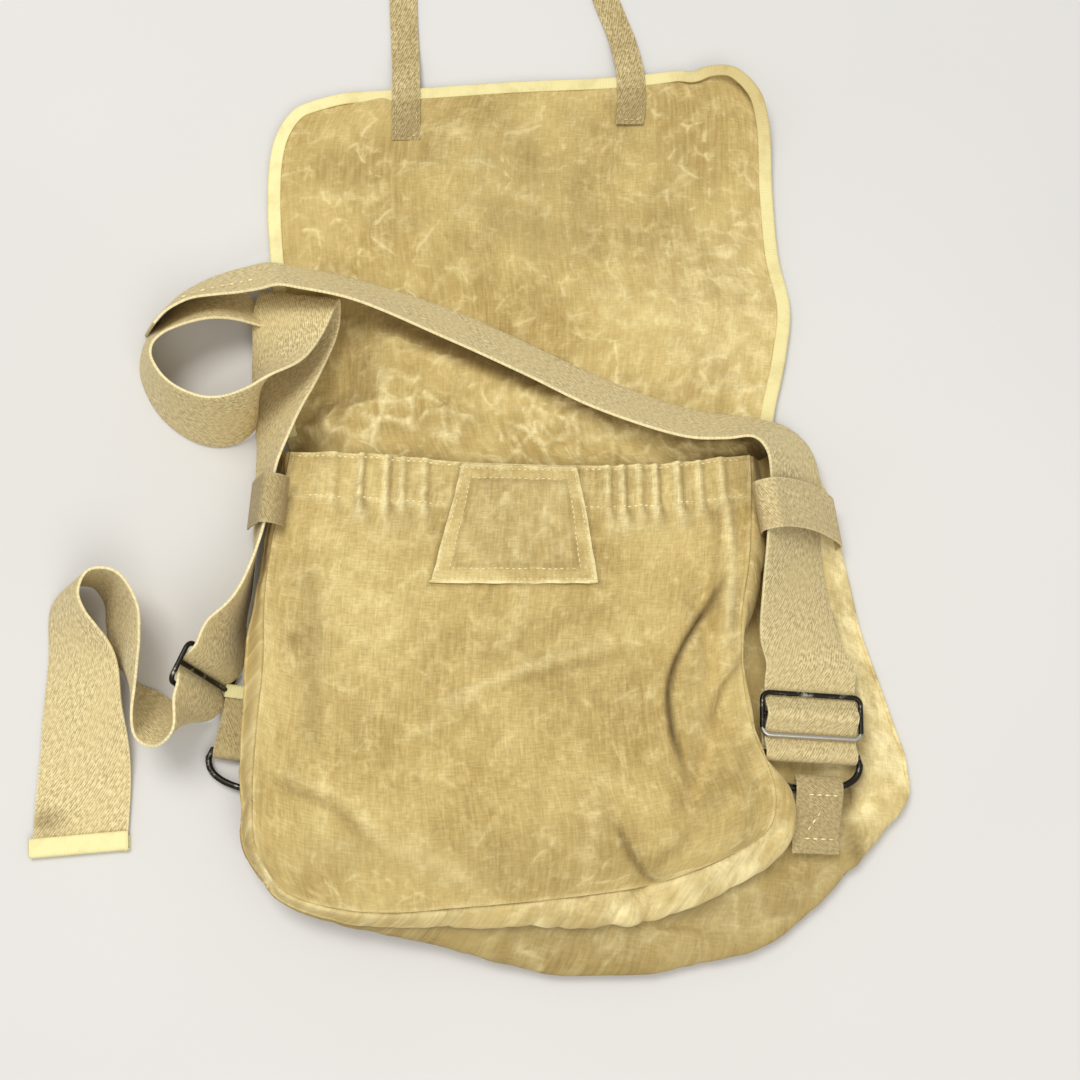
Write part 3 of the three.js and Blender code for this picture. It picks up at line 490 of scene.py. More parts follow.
class Seat:
    """The frame of a fitting: along the strap, over its face, and towards its raised edge."""

    def __init__(self, row):
        self.middle = Vector((row.x, row.y, row.z))
        self.way = width_way(row.heading, row.lean)
        turn = math.radians(row.along)
        along = Vector((math.cos(turn), math.sin(turn), 0))
        self.along = (along - self.way * along.dot(self.way)).normalized()
        self.face = self.along.cross(self.way).normalized()

    def at(self, s, n, w=0):
        """A point at a distance along, a height over the face and a distance aside."""
        return self.middle + self.along * s + self.face * n + self.way * w

    def threaded(self, rows, aside=0):
        """Stations of webbing that keeps the fitting's width way."""
        return [(self.at(row.s, row.n, aside), self.way) for row in rows]

    def wrapped(self, rows, slant=0):
        """Stations of a keeper that goes round the strap, with its low end slipped down by slant."""
        high, low = rows[0].w, rows[-1].w
        stations = []
        for row in rows:
            slip = slant * max((high - row.w) / (high - low), 0) ** 1.7
            stations.append((self.at(-slip, row.n, row.w), self.along))
        return stations


def placed(rows):
    """Stations of a strap from its table."""
    return [(Vector((row.x, row.y, row.z)), width_way(row.heading, row.lean)) for row in rows]


# Step and passes that even out a strap's way across
WAY_STEP = 1.5
WAY_CALM = 40


class Strap:
    """A flat strap through stations, each a middle point and the way across it."""

    def __init__(self, stations, width, wall):
        self.path = Line([point for point, _ in stations])
        self.ways = [way for _, way in stations]
        self.width = width
        self.wall = wall
        self.length = self.path.length
        count = max(4, round(self.length / WAY_STEP))
        ways = [self.way_through(self.path.stations_at(k / count)) for k in range(count + 1)]
        for _ in range(WAY_CALM):
            inner = [(a + 2 * b + c) / 4 for a, b, c in zip(ways, ways[1:], ways[2:])]
            ways = [ways[0], *inner, ways[-1]]
        self.calm_ways = ways

    def way_at(self, share):
        """The way across at a share of the length."""
        spot = share * (len(self.calm_ways) - 1)
        k = min(int(spot), len(self.calm_ways) - 2)
        return mixed(self.calm_ways[k], self.calm_ways[k + 1], spot - k)

    def way_through(self, share):
        """The way across, eased through the stations."""
        spans = len(self.ways) - 1
        k = min(int(share * spans), spans - 1)
        before = self.ways[k - 1] if k else 2 * self.ways[0] - self.ways[1]
        after = self.ways[k + 2] if k + 2 <= spans else 2 * self.ways[-1] - self.ways[-2]
        m1 = 0.4 * (self.ways[k + 1] - before)
        m2 = 0.4 * (after - self.ways[k])
        return between(self.ways[k], self.ways[k + 1], m1, m2, share * spans - k)

    def section(self, share):
        """The middle point, the way across and the face at a share of the length."""
        t = self.path.stations_at(share)
        point = self.path.station(t)
        step = 1e-4
        along = (self.path.station(min(t + step, 1)) - self.path.station(max(t - step, 0))).normalized()
        way = self.way_at(share).normalized()
        face = along.cross(way).normalized()
        lowest = point.z - abs(way.z) * self.width / 2 - abs(face.z) * self.wall / 2
        return point + UP * max(0.0, GAP - lowest), way, face

    def at(self, share, across, height=0.0):
        """A point at a share of the length and a distance from the middle, over the face."""
        point, way, face = self.section(share)
        return point + way * across + face * height


def crease(x, y, size, sharp, shift):
    """How near a point lies to the crossing lines of crumpled cloth, from 0 to 1."""
    spot = Vector((x / size, y / size, shift))
    bent = spot + noise.noise_vector(spot * 1.7) * 0.35
    return max(0.0, 1.0 - abs(noise.noise(bent)) * sharp)


def ridged(x, y, size, shift):
    """How near a point lies to the ridges between the facets of crumpled cloth, from 0 to 1."""
    spot = Vector((x / size, y / size, shift))
    near = noise.voronoi(spot + noise.noise_vector(spot * 1.3) * 0.4)[0]
    return max(0.0, 1.0 - (near[1] - near[0]) / 0.45)


def patchy(x, y, size, shift):
    """A slow change from place to place, about 0 to 1."""
    return min(max(0.5 + noise.noise(Vector((x / size, y / size, shift))), 0.0), 1.0)


# How far a fold fades out past its ends
FOLD_FADE = 14


def fold_height(folds, x, y):
    """What a table of folds adds at a point."""
    height = 0.0
    for fold in folds:
        dx, dy = fold.x2 - fold.x1, fold.y2 - fold.y1
        long = math.hypot(dx, dy)
        t = ((x - fold.x1) * dx + (y - fold.y1) * dy) / long ** 2
        inside = min(max(t, 0), 1)
        bow = 4 * fold.bow * inside * (1 - inside)
        aside = ((x - fold.x1) * dy - (y - fold.y1) * dx) / long + bow
        if abs(aside) > 3 * fold.width:
            continue
        past = max(0, -t, t - 1) * long
        height += fold.height * hump(aside, fold.width) * hump(past, FOLD_FADE)
    return height


# Points along a crease, and the depth at which the painted shade of its line is fully dark
CREASE_SPOTS = 40
CREASE_DARK = 3.6


class Crease:
    """A sharp line pressed into the cloth, with the cloth swelling on the left of its run."""

    def __init__(self, row):
        self.row = row
        line = Line([(x, y, 0) for x, y in row.points], 6)
        self.spots = [line.at(k / CREASE_SPOTS).xy for k in range(CREASE_SPOTS + 1)]
        self.margin = 2.5 * row.reach
        self.low = [min(spot[k] for spot in self.spots) - self.margin for k in (0, 1)]
        self.high = [max(spot[k] for spot in self.spots) + self.margin for k in (0, 1)]

    def nearest(self, x, y):
        """The signed distance to the line and the share of its run there."""
        here = Vector((x, y))
        k = min(range(len(self.spots)), key=lambda n: (self.spots[n] - here).length_squared)
        k = min(max(k, 1), len(self.spots) - 2)
        along = (self.spots[k + 1] - self.spots[k - 1]).normalized()
        off = here - self.spots[k]
        share = (k + off.dot(along) / (self.spots[k + 1] - self.spots[k]).length) / (len(self.spots) - 1)
        return along.x * off.y - along.y * off.x, share

    def at(self, x, y):
        """The height that the crease adds, and how dark the painted shade of its line is."""
        if not (self.low[0] < x < self.high[0] and self.low[1] < y < self.high[1]):
            return 0.0, 0.0
        aside, share = self.nearest(x, y)
        strength = eased(share, -0.1, 0.25) * eased(1 - share, -0.1, 0.25)
        line = hump(aside, self.row.width) * strength
        swell = self.row.swell * eased(aside, 0, 3) * hump(aside, self.row.reach) * strength
        return swell - self.row.depth * line, line * min(self.row.depth / CREASE_DARK, 1)


CREASE_LINES = [Crease(row) for row in CREASES]


def creased(x, y):
    """The height and the painted shade of all sharp creases at a point."""
    marks = [line.at(x, y) for line in CREASE_LINES]
    return sum(mark[0] for mark in marks), max(mark[1] for mark in marks)


FRONT = Panel(FRONT_LEFT, FRONT_RIGHT, FRONT_BOTTOM, FRONT_TOP)
BACK = Panel(BACK_LEFT, BACK_RIGHT, BACK_BOTTOM, BACK_TOP)
FLAP = Panel(FLAP_LEFT, FLAP_RIGHT, BACK_TOP, FLAP_TOP)
RIGHT_SEAT, LEFT_SEAT, LEFT_RING_SEAT = Seat(BUCKLE_RIGHT), Seat(BUCKLE_LEFT), Seat(LEFT_RING)


def front_form(u, v):
    """The front panel's middle surface with its crown and main folds."""
    point = FRONT.at(u, v)
    calm = eased(min(u, 1 - u), 0, 0.09)
    crown = FRONT_CROWN * (1 - (2 * u - 1) ** 2) * (1 - (2 * v - 1) ** 2)
    return point + UP * (crown + calm * fold_height(FRONT_FOLDS, point.x, point.y))


def flap_form(u, v):
    """The flap's middle surface with its slow waves, its rolled corner and the pucker beside that."""
    point = FLAP.at(u, v)
    to_top = (1 - v) * FLAP_HEIGHT
    to_right = (1 - u) * FLAP_TOP_WIDTH
    point.y -= PUCKER.depth * hump(point.x - PUCKER.x, PUCKER.width) * (1 - eased(to_top, 0, PUCKER.reach))
    z = CANVAS / 2 + FLAP_LIFT * eased(v, 0, 0.05)
    roll = 1 - eased(min(to_top, to_right), 0, CORNER.edge)
    z += CORNER.roll * roll * hump(math.hypot(point.x - CORNER.x, point.y - CORNER.y), CORNER.reach)
    for wave in FLAP_WAVES:
        z += wave.height * hump(math.hypot(point.x - wave.x, point.y - wave.y), wave.reach)
    return Vector((point.x, point.y, z))


# Colours and materials

def linear(code):
    """An sRGB hex colour as linear red, green, blue and alpha."""
    parts = [int(code[k:k + 2], 16) / 255 for k in (1, 3, 5)]
    return (*[c / 12.92 if c <= 0.04045 else ((c + 0.055) / 1.055) ** 2.4 for c in parts], 1.0)


def fill(tree, made, inputs):
    """Set or link inputs of a node by name."""
    for name, value in inputs.items():
        if isinstance(value, bpy.types.NodeSocket):
            tree.links.new(value, made.inputs[name])
        else:
            made.inputs[name].default_value = value


def node(tree, kind, inputs=None, **settings):
    """Add a node, apply its settings, and set or link its inputs."""
    made = tree.nodes.new(kind)
    for name, value in settings.items():
        setattr(made, name, value)
    fill(tree, made, inputs or {})
    return made


# Sockets of a colour Mix node
FACTOR, FIRST, SECOND, MIXED = 0, 6, 7, 2


def new_material(name):
    """An empty material with its shader."""
    material = bpy.data.materials.new(name)
    material.use_nodes = True
    tree = material.node_tree
    shader = tree.nodes["Principled BSDF"]
    return material, tree, shader


def washed_canvas(name, look):
    """Cotton duck, woven and often washed: matt, streaked along the warp, with pale broken creases."""
    material, tree, shader = new_material(name)
    cloth = node(tree, "ShaderNodeTexCoord").outputs["UV"]
    wash = node(tree, "ShaderNodeTexNoise", {
        "Vector": cloth, "Scale": 1 / (62 * MM), "Detail": 4.0, "Roughness": 0.6})
    wash_share = node(tree, "ShaderNodeMapRange", {
        "Value": wash.outputs["Fac"], "From Min": 0.34, "From Max": 0.64}, interpolation_type="SMOOTHSTEP")
    ground = node(tree, "ShaderNodeMix", {
        FACTOR: wash_share.outputs["Result"], FIRST: look.canvas_deep, SECOND: look.canvas},
        data_type="RGBA")
    # Faded streaks along the warp, a few threads wide
    warp = node(tree, "ShaderNodeMapping", {
        "Vector": cloth, "Scale": (2.2 * MM, 30 * MM, 1.0)}, vector_type="TEXTURE")
    streaks = node(tree, "ShaderNodeTexNoise", {
        "Vector": warp.outputs["Vector"], "Scale": 1.0, "Detail": 3.0})
    streak_share = node(tree, "ShaderNodeMapRange", {
        "Value": streaks.outputs["Fac"], "From Min": 0.42, "From Max": 0.74, "To Max": 0.4})
    streaked = node(tree, "ShaderNodeMix", {
        FACTOR: streak_share.outputs["Result"], FIRST: ground.outputs[MIXED], SECOND: look.canvas_pale},
        data_type="RGBA")
    scuffs = node(tree, "ShaderNodeTexNoise", {
        "Vector": cloth, "Scale": 1 / (11 * MM), "Detail": 6.0, "Roughness": 0.68, "Distortion": 0.4})
    scuff_share = node(tree, "ShaderNodeMapRange", {
        "Value": scuffs.outputs["Fac"], "From Min": 0.50, "From Max": 0.74, "To Max": 0.75})
    scuffed = node(tree, "ShaderNodeMix", {
        FACTOR: scuff_share.outputs["Result"], FIRST: streaked.outputs[MIXED], SECOND: look.canvas_pale},
        data_type="RGBA")
    # Threads are 0.5 mm apart on the cloth and drawn twice as coarse, so that they show
    ends = node(tree, "ShaderNodeMapping", {
        "Vector": cloth, "Scale": (0.9 * MM, 6 * MM, 1.0)}, vector_type="TEXTURE")
    picks = node(tree, "ShaderNodeMapping", {
        "Vector": cloth, "Scale": (6 * MM, 0.9 * MM, 1.0)}, vector_type="TEXTURE")
    end_threads = node(tree, "ShaderNodeTexNoise", {
        "Vector": ends.outputs["Vector"], "Scale": 1.0, "Detail": 1.0})
    pick_threads = node(tree, "ShaderNodeTexNoise", {
        "Vector": picks.outputs["Vector"], "Scale": 1.0, "Detail": 1.0})
    woven = node(tree, "ShaderNodeMath", {
        0: end_threads.outputs["Fac"], 1: pick_threads.outputs["Fac"]}, operation="ADD")
    thread_value = node(tree, "ShaderNodeMapRange", {
        "Value": woven.outputs["Value"], "From Min": 0.7, "From Max": 1.3, "To Min": 0.85, "To Max": 1.13})
    crumple = node(tree, "ShaderNodeAttribute", attribute_name="crumple")
    thread_share = node(tree, "ShaderNodeMapRange", {
        "Value": crumple.outputs["Fac"], "From Min": 0.25, "From Max": 0.5, "To Min": 1.0, "To Max": 0.6})
    # Pale broken creases, where the piece's crumple mark asks for them
    bend = node(tree, "ShaderNodeTexNoise", {"Vector": cloth, "Scale": 1 / (22 * MM), "Detail": 3.0})
    bent = node(tree, "ShaderNodeVectorMath", {
        0: bend.outputs["Color"], 1: (14 * MM, 14 * MM, 0.0), 2: cloth}, operation="MULTIPLY_ADD")
    folds = node(tree, "ShaderNodeTexVoronoi", {
        "Vector": bent.outputs["Vector"], "Scale": 1 / (30 * MM)},
        voronoi_dimensions="2D", feature="DISTANCE_TO_EDGE")
    crinkles = node(tree, "ShaderNodeTexVoronoi", {
        "Vector": bent.outputs["Vector"], "Scale": 1 / (12 * MM)},
        voronoi_dimensions="2D", feature="DISTANCE_TO_EDGE")
    fold_line = node(tree, "ShaderNodeMapRange", {
        "Value": folds.outputs["Distance"], "From Max": 0.06, "To Min": 0.9, "To Max": 0.0},
        interpolation_type="SMOOTHSTEP")
    crinkle_line = node(tree, "ShaderNodeMapRange", {
        "Value": crinkles.outputs["Distance"], "From Max": 0.15, "To Min": 0.38, "To Max": 0.0},
        interpolation_type="SMOOTHSTEP")
    either = node(tree, "ShaderNodeMath", {
        0: fold_line.outputs["Result"], 1: crinkle_line.outputs["Result"]}, operation="MAXIMUM")
    breaks = node(tree, "ShaderNodeTexNoise", {"Vector": cloth, "Scale": 1 / (11 * MM), "Detail": 3.0})
    gate = node(tree, "ShaderNodeMapRange", {
        "Value": breaks.outputs["Fac"], "From Min": 0.47, "From Max": 0.57})
    broken = node(tree, "ShaderNodeMath", {
        0: either.outputs["Value"], 1: gate.outputs["Result"]}, operation="MULTIPLY")
    crease_line = node(tree, "ShaderNodeMath", {
        0: broken.outputs["Value"], 1: crumple.outputs["Fac"]}, operation="MULTIPLY")
    lined = node(tree, "ShaderNodeMix", {
        FACTOR: crease_line.outputs["Value"], FIRST: scuffed.outputs[MIXED], SECOND: look.canvas_rubbed},
        data_type="RGBA")
    # Rubs are uneven, as the cloth's high threads wear first
    rub = node(tree, "ShaderNodeAttribute", attribute_name="rub")
    wear = node(tree, "ShaderNodeMapRange", {
        "Value": scuffs.outputs["Fac"], "From Min": 0.38, "From Max": 0.62, "To Min": 0.45, "To Max": 1.5})
    rub_share = node(tree, "ShaderNodeMath", {
        0: rub.outputs["Fac"], 1: wear.outputs["Result"]}, operation="MULTIPLY", use_clamp=True)
    rubbed = node(tree, "ShaderNodeMix", {
        FACTOR: rub_share.outputs["Value"], FIRST: lined.outputs[MIXED], SECOND: look.canvas_rubbed},
        data_type="RGBA")
    # Dirt, and painted shade in creases, fold valleys and under edges, darken the cloth here
    soil = node(tree, "ShaderNodeAttribute", attribute_name="soil")
    soiled_and_shaded = node(tree, "ShaderNodeMix", {
        FACTOR: soil.outputs["Fac"], FIRST: rubbed.outputs[MIXED], SECOND: look.canvas_soil},
        data_type="RGBA")
    toned = node(tree, "ShaderNodeHueSaturation", {
        "Color": soiled_and_shaded.outputs[MIXED], "Value": thread_value.outputs["Result"],
        "Fac": thread_share.outputs["Result"]})
    # Relief in millimetres: threads, then creases
    threads = node(tree, "ShaderNodeMath", {0: woven.outputs["Value"], 1: 0.22}, operation="MULTIPLY")
    relief = node(tree, "ShaderNodeMath", {
        0: crease_line.outputs["Value"], 1: 0.4, 2: threads.outputs["Value"]}, operation="MULTIPLY_ADD")
    bump = node(tree, "ShaderNodeBump", {"Height": relief.outputs["Value"], "Strength": 0.8, "Distance": MM})
    fill(tree, shader, {
        "Base Color": toned.outputs["Color"], "Normal": bump.outputs["Normal"], "Roughness": 0.93,
        "Sheen Weight": 0.08, "Specular IOR Level": 0.2})
    return material


def twill_webbing(name, look, ground, lean, spacing, width, edge):
    """Cotton webbing in twill: ribbed aslant, dusty, with pale corded selvages."""
    material, tree, shader = new_material(name)
    cloth = node(tree, "ShaderNodeTexCoord").outputs["UV"]
    slant = node(tree, "ShaderNodeMapping", {
        "Vector": cloth, "Rotation": (0, 0, math.radians(lean)),
        "Scale": (spacing * MM, 2.4 * spacing * MM, 1.0)},
        vector_type="TEXTURE")
    over = node(tree, "ShaderNodeSeparateXYZ", {"Vector": slant.outputs["Vector"]})
    turns = node(tree, "ShaderNodeMath", {0: over.outputs["X"], 1: math.tau}, operation="MULTIPLY")
    ribs = node(tree, "ShaderNodeMath", {0: turns.outputs["Value"]}, operation="SINE")
    dashes = node(tree, "ShaderNodeTexNoise", {
        "Vector": slant.outputs["Vector"], "Scale": 1.0, "Detail": 2.0, "Roughness": 0.6})
    lifted = node(tree, "ShaderNodeMath", {
        0: ribs.outputs["Value"], 1: 0.09, 2: dashes.outputs["Fac"]}, operation="MULTIPLY_ADD")
    dash_share = node(tree, "ShaderNodeMapRange", {
        "Value": lifted.outputs["Value"], "From Min": 0.36, "From Max": 0.64})
    woven = node(tree, "ShaderNodeMix", {
        FACTOR: dash_share.outputs["Result"], FIRST: look.webbing_deep, SECOND: look.webbing_pale},
        data_type="RGBA")
    wash = node(tree, "ShaderNodeTexNoise", {"Vector": cloth, "Scale": 1 / (26 * MM), "Detail": 5.0})
    wash_share = node(tree, "ShaderNodeMapRange", {
        "Value": wash.outputs["Fac"], "From Min": 0.36, "From Max": 0.66, "To Min": 0.65, "To Max": 0.2})
    washed = node(tree, "ShaderNodeMix", {
        FACTOR: wash_share.outputs["Result"], FIRST: woven.outputs[MIXED], SECOND: ground}, data_type="RGBA")
    # The selvage's cord is 1.5 mm wide, and its notches are drawn 2.4 mm apart, so that they show
    split = node(tree, "ShaderNodeSeparateXYZ", {"Vector": cloth})
    side = node(tree, "ShaderNodeMath", {0: split.outputs["X"]}, operation="ABSOLUTE")
    wefts = node(tree, "ShaderNodeMath", {
        0: split.outputs["Y"], 1: math.tau / (2.4 * MM)}, operation="MULTIPLY")
    notch = node(tree, "ShaderNodeMath", {0: wefts.outputs["Value"]}, operation="SINE")
    notched = node(tree, "ShaderNodeMath", {
        0: notch.outputs["Value"], 1: 0.4 * MM, 2: side.outputs["Value"]}, operation="MULTIPLY_ADD")
    edge_share = node(tree, "ShaderNodeMapRange", {
        "Value": notched.outputs["Value"], "From Min": (width / 2 - 0.9) * MM,
        "From Max": (width / 2 - 0.2) * MM,
        "To Max": edge}, interpolation_type="SMOOTHSTEP")
    edged = node(tree, "ShaderNodeMix", {
        FACTOR: edge_share.outputs["Result"], FIRST: washed.outputs[MIXED], SECOND: look.selvage},
        data_type="RGBA")
    soil = node(tree, "ShaderNodeAttribute", attribute_name="soil")
    soiled_and_shaded = node(tree, "ShaderNodeMix", {
        FACTOR: soil.outputs["Fac"], FIRST: edged.outputs[MIXED], SECOND: look.canvas_soil},
        data_type="RGBA")
    bump = node(tree, "ShaderNodeBump", {
        "Height": lifted.outputs["Value"], "Strength": 0.7, "Distance": 0.7 * MM})
    fill(tree, shader, {
        "Base Color": soiled_and_shaded.outputs[MIXED], "Normal": bump.outputs["Normal"], "Roughness": 0.92,
        "Sheen Weight": 0.08, "Specular IOR Level": 0.2})
    return material


def binding_tape(name, look):
    """Unbleached cotton tape: fine ribs across, a little soiled, matt."""
    material, tree, shader = new_material(name)
    cloth = node(tree, "ShaderNodeTexCoord").outputs["UV"]
    split = node(tree, "ShaderNodeSeparateXYZ", {"Vector": cloth})
    # Ribs are 0.6 mm apart on the tape and drawn 1.6 mm apart, so that they show
    turns = node(tree, "ShaderNodeMath", {
        0: split.outputs["Y"], 1: math.tau / (1.6 * MM)}, operation="MULTIPLY")
    ribs = node(tree, "ShaderNodeMath", {0: turns.outputs["Value"]}, operation="SINE")
    soil = node(tree, "ShaderNodeTexNoise", {
        "Vector": cloth, "Scale": 1 / (16 * MM), "Detail": 5.0, "Roughness": 0.65})
    soil_share = node(tree, "ShaderNodeMapRange", {
        "Value": soil.outputs["Fac"], "From Min": 0.48, "From Max": 0.72, "To Max": 0.35})
    mark = node(tree, "ShaderNodeAttribute", attribute_name="soil")
    handled = node(tree, "ShaderNodeMath", {
        0: mark.outputs["Fac"], 1: soil_share.outputs["Result"]}, operation="ADD", use_clamp=True)
    tint = node(tree, "ShaderNodeMix", {
        FACTOR: handled.outputs["Value"], FIRST: look.tape, SECOND: look.tape_soiled}, data_type="RGBA")
    bump = node(tree, "ShaderNodeBump", {
        "Height": ribs.outputs["Value"], "Strength": 0.35, "Distance": 0.3 * MM})
    fill(tree, shader, {
        "Base Color": tint.outputs[MIXED], "Normal": bump.outputs["Normal"], "Roughness": 0.88,
        "Specular IOR Level": 0.25})
    return material


def blackened_steel(name, look):
    """Bent steel wire with a worn black finish: dark, satin, with bare bright rubs."""
    material, tree, shader = new_material(name)
    spot = node(tree, "ShaderNodeTexCoord").outputs["Object"]
    rub = node(tree, "ShaderNodeTexNoise", {
        "Vector": spot, "Scale": 1 / (9 * MM), "Detail": 6.0, "Roughness": 0.7})
    bared = node(tree, "ShaderNodeAttribute", attribute_name="rub")
    worn = node(tree, "ShaderNodeMath", {
        0: bared.outputs["Fac"], 1: 0.3, 2: rub.outputs["Fac"]}, operation="MULTIPLY_ADD")
    rub_share = node(tree, "ShaderNodeMapRange", {
        "Value": worn.outputs["Value"], "From Min": 0.54, "From Max": 0.72}, interpolation_type="SMOOTHSTEP")
    tint = node(tree, "ShaderNodeMix", {
        FACTOR: rub_share.outputs["Result"], FIRST: look.steel_black, SECOND: look.steel_bare},
        data_type="RGBA")
    gloss = node(tree, "ShaderNodeMapRange", {
        "Value": rub.outputs["Fac"], "From Min": 0.3, "From Max": 0.7, "To Min": 0.5, "To Max": 0.3})
    pits = node(tree, "ShaderNodeTexNoise", {"Vector": spot, "Scale": 1 / (1.2 * MM), "Detail": 3.0})
    bump = node(tree, "ShaderNodeBump", {
        "Height": pits.outputs["Fac"], "Strength": 0.25, "Distance": 0.15 * MM})
    fill(tree, shader, {
        "Base Color": tint.outputs[MIXED], "Roughness": gloss.outputs["Result"],
        "Normal": bump.outputs["Normal"], "Metallic": 0.9})
    return material


def sewing_thread(name, colour, shade):
    """Waxed cotton thread: twisted, pale, a little grey from handling."""
    material, tree, shader = new_material(name)
    spot = node(tree, "ShaderNodeTexCoord").outputs["Object"]
    grey = node(tree, "ShaderNodeTexNoise", {"Vector": spot, "Scale": 1 / (7 * MM), "Detail": 3.0})
    share = node(tree, "ShaderNodeMapRange", {
        "Value": grey.outputs["Fac"], "From Min": 0.4, "From Max": 0.7})
    tint = node(tree, "ShaderNodeMix", {
        FACTOR: share.outputs["Result"], FIRST: colour, SECOND: shade}, data_type="RGBA")
    fill(tree, shader, {"Base Color": tint.outputs[MIXED], "Roughness": 0.8})
    return material


def once(name, make, *values):
    """A material made the first time that it is asked for."""
    return bpy.data.materials.get(name) or make(name, *values)


def canvas_of(context):
    """The bag's canvas."""
    return once("washed_cotton_canvas", washed_canvas, context.scene.bag_look)


def webbing_of(context):
    """The shoulder strap's webbing."""
    look = context.scene.bag_look
    return once("twill_cotton_webbing", twill_webbing, look, look.webbing, 32, 1.25, WEB_WIDTH, 0.6)


def keeper_webbing_of(context):
    """The finer webbing of keepers and tabs."""
    look = context.scene.bag_look
    return once("fine_twill_cotton_webbing", twill_webbing, look, look.keeper, 58, 1.0, KEEPER_WIDTH, 0.4)


def tape_of(context):
    """The tape of the flap's edge and of cut ends."""
    return once("unbleached_cotton_tape", binding_tape, context.scene.bag_look)


def closing_webbing_of(context):
    """The narrow webbing of the closing straps."""
    look = context.scene.bag_look
    return once(
        "narrow_twill_cotton_webbing", twill_webbing, look, look.closing, 24, 1.3, CLOSING_WIDTH, 0.15)


# Pieces

def evenly(width, length):
    """The flat measure of a piece that is cut as a rectangle."""
    return lambda a, b: ((a - 0.5) * width, b * length)


def shaped_grid(cells, flat, place, touch=None):
    """A grid of cells moved to its place, with a UV map in metres of flat cloth, marks of use and painted
    shade.
    """
    shape = bmesh.new()
    uv = shape.loops.layers.uv.new("UVMap")
    marks = [shape.verts.layers.float.new(name) for name in ("crumple", "rub", "soil")]
    bmesh.ops.create_grid(shape, x_segments=cells[0], y_segments=cells[1], size=0.5)
    shares = {vert: (vert.co.x + 0.5, vert.co.y + 0.5) for vert in shape.verts}
    for face in shape.faces:
        for loop in face.loops:
            loop[uv].uv = Vector(flat(*shares[loop.vert])) * MM
    for vert, (a, b) in shares.items():
        vert.co = place(a, b) * MM
        if touch:
            for layer, value in zip(marks, touch(a, b)):
                vert[layer] = min(max(value, 0.0), 1.0)
    return shape


def finished(name, shape, material, nodes=(), wall=0.0, rounding=0.0):
    """Make a piece of a bmesh, give it its wall, and set it on the frame."""
    mesh = bpy.data.meshes.new(name)
    shape.to_mesh(mesh)
    shape.free()
    mesh.shade_smooth()
    mesh.materials.append(material)
    piece = bpy.data.objects.new(name, mesh)
    bpy.context.scene.collection.objects.link(piece)
    if wall:
        thick = piece.modifiers.new("Wall", "SOLIDIFY")
        thick.thickness = wall * MM
        thick.offset = 0.0
    if rounding:
        soft = piece.modifiers.new("Edges", "BEVEL")
        soft.width = rounding * MM
        soft.segments = 2
        soft.limit_method = "ANGLE"
        soft.angle_limit = math.radians(50)
    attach(piece, "root")
    if nodes:
        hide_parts(*nodes)
    return piece


def strap_piece(name, strap, material, touch=None, across=12, step=2.2):
    """A strap as a sheet of webbing that follows its stations."""
    cells = (across, max(8, round(strap.length / step)))

    def place(a, b):
        """A point of the webbing."""
        return strap.at(b, (a - 0.5) * strap.width)

    shape = shaped_grid(cells, evenly(strap.width, strap.length), place, touch)
    piece = finished(name + "_cloth", shape, material, [name], strap.wall * DRAWN_WALL, WEB_ROUND)
    return piece


# Points that a taped edge is measured by, and how far the tape bulges round it
RIM_SPOTS = 200
TAPE_BULGE = 0.8


def folded_tape(name, rim, leg, inside, material, nodes, step, touch=None):
    """Tape folded over an edge: rim gives an edge point, the way out and the way up at a share."""
    height = inside + TAPE / 2
    bend = math.pi * height / 2
    total = leg(0.5) + 2 * bend + TAPE_UNDER
    spots = [rim(k / RIM_SPOTS)[0] for k in range(RIM_SPOTS + 1)]
    length = sum((b - a).length for a, b in zip(spots, spots[1:]))

    def place(a, b):
        """A point of the tape from its upper leg, round the edge, to its lower leg."""
        edge, out, up = rim(b)
        shown = leg(b)
        far = a * (shown + 2 * bend + TAPE_UNDER)
        if far < shown:
            return edge + out * (far - shown) + up * height
        if far > shown + 2 * bend:
            return edge + out * (shown + 2 * bend - far) - up * height
        turn = math.pi * (far - shown) / (2 * bend)
        return edge + out * height * math.sin(turn) * TAPE_BULGE + up * height * math.cos(turn)

    shape = shaped_grid((TAPE_CELLS, round(length / step)), evenly(total, length), place, touch)
    piece = finished(name, shape, material, nodes, TAPE)
    return piece


def sewn(name, rows, length, gap, thick, material):
    """Rows of stitches: each row is a list of points with the cloth's normal at each."""
    shape = bmesh.new()
    for row in rows:
        far = [0.0]
        for (a, _), (b, _) in zip(row, row[1:]):
            far.append(far[-1] + (b - a).length)
        spot = gap / 2
        while spot + length < far[-1]:
            k = min(bisect_right(far, spot + length / 2), len(far) - 1)
            share = (spot + length / 2 - far[k - 1]) / max(far[k] - far[k - 1], 1e-6)
            middle = mixed(row[k - 1][0], row[k][0], share)
            along = (row[k][0] - row[k - 1][0]).normalized()
            up = (row[k][1] - along * row[k][1].dot(along)).normalized()
            turn = Matrix((along, up.cross(along), up)).transposed().to_4x4()
            size = Matrix.Diagonal((length / 2, thick / 2, thick / 2, 1.0))
            lift = Matrix.Translation((middle + up * thick * 0.15) * MM)
            bmesh.ops.create_uvsphere(
                shape, u_segments=6, v_segments=4, radius=MM, matrix=lift @ turn @ size)
            spot += length + gap
    return finished(name, shape, material)


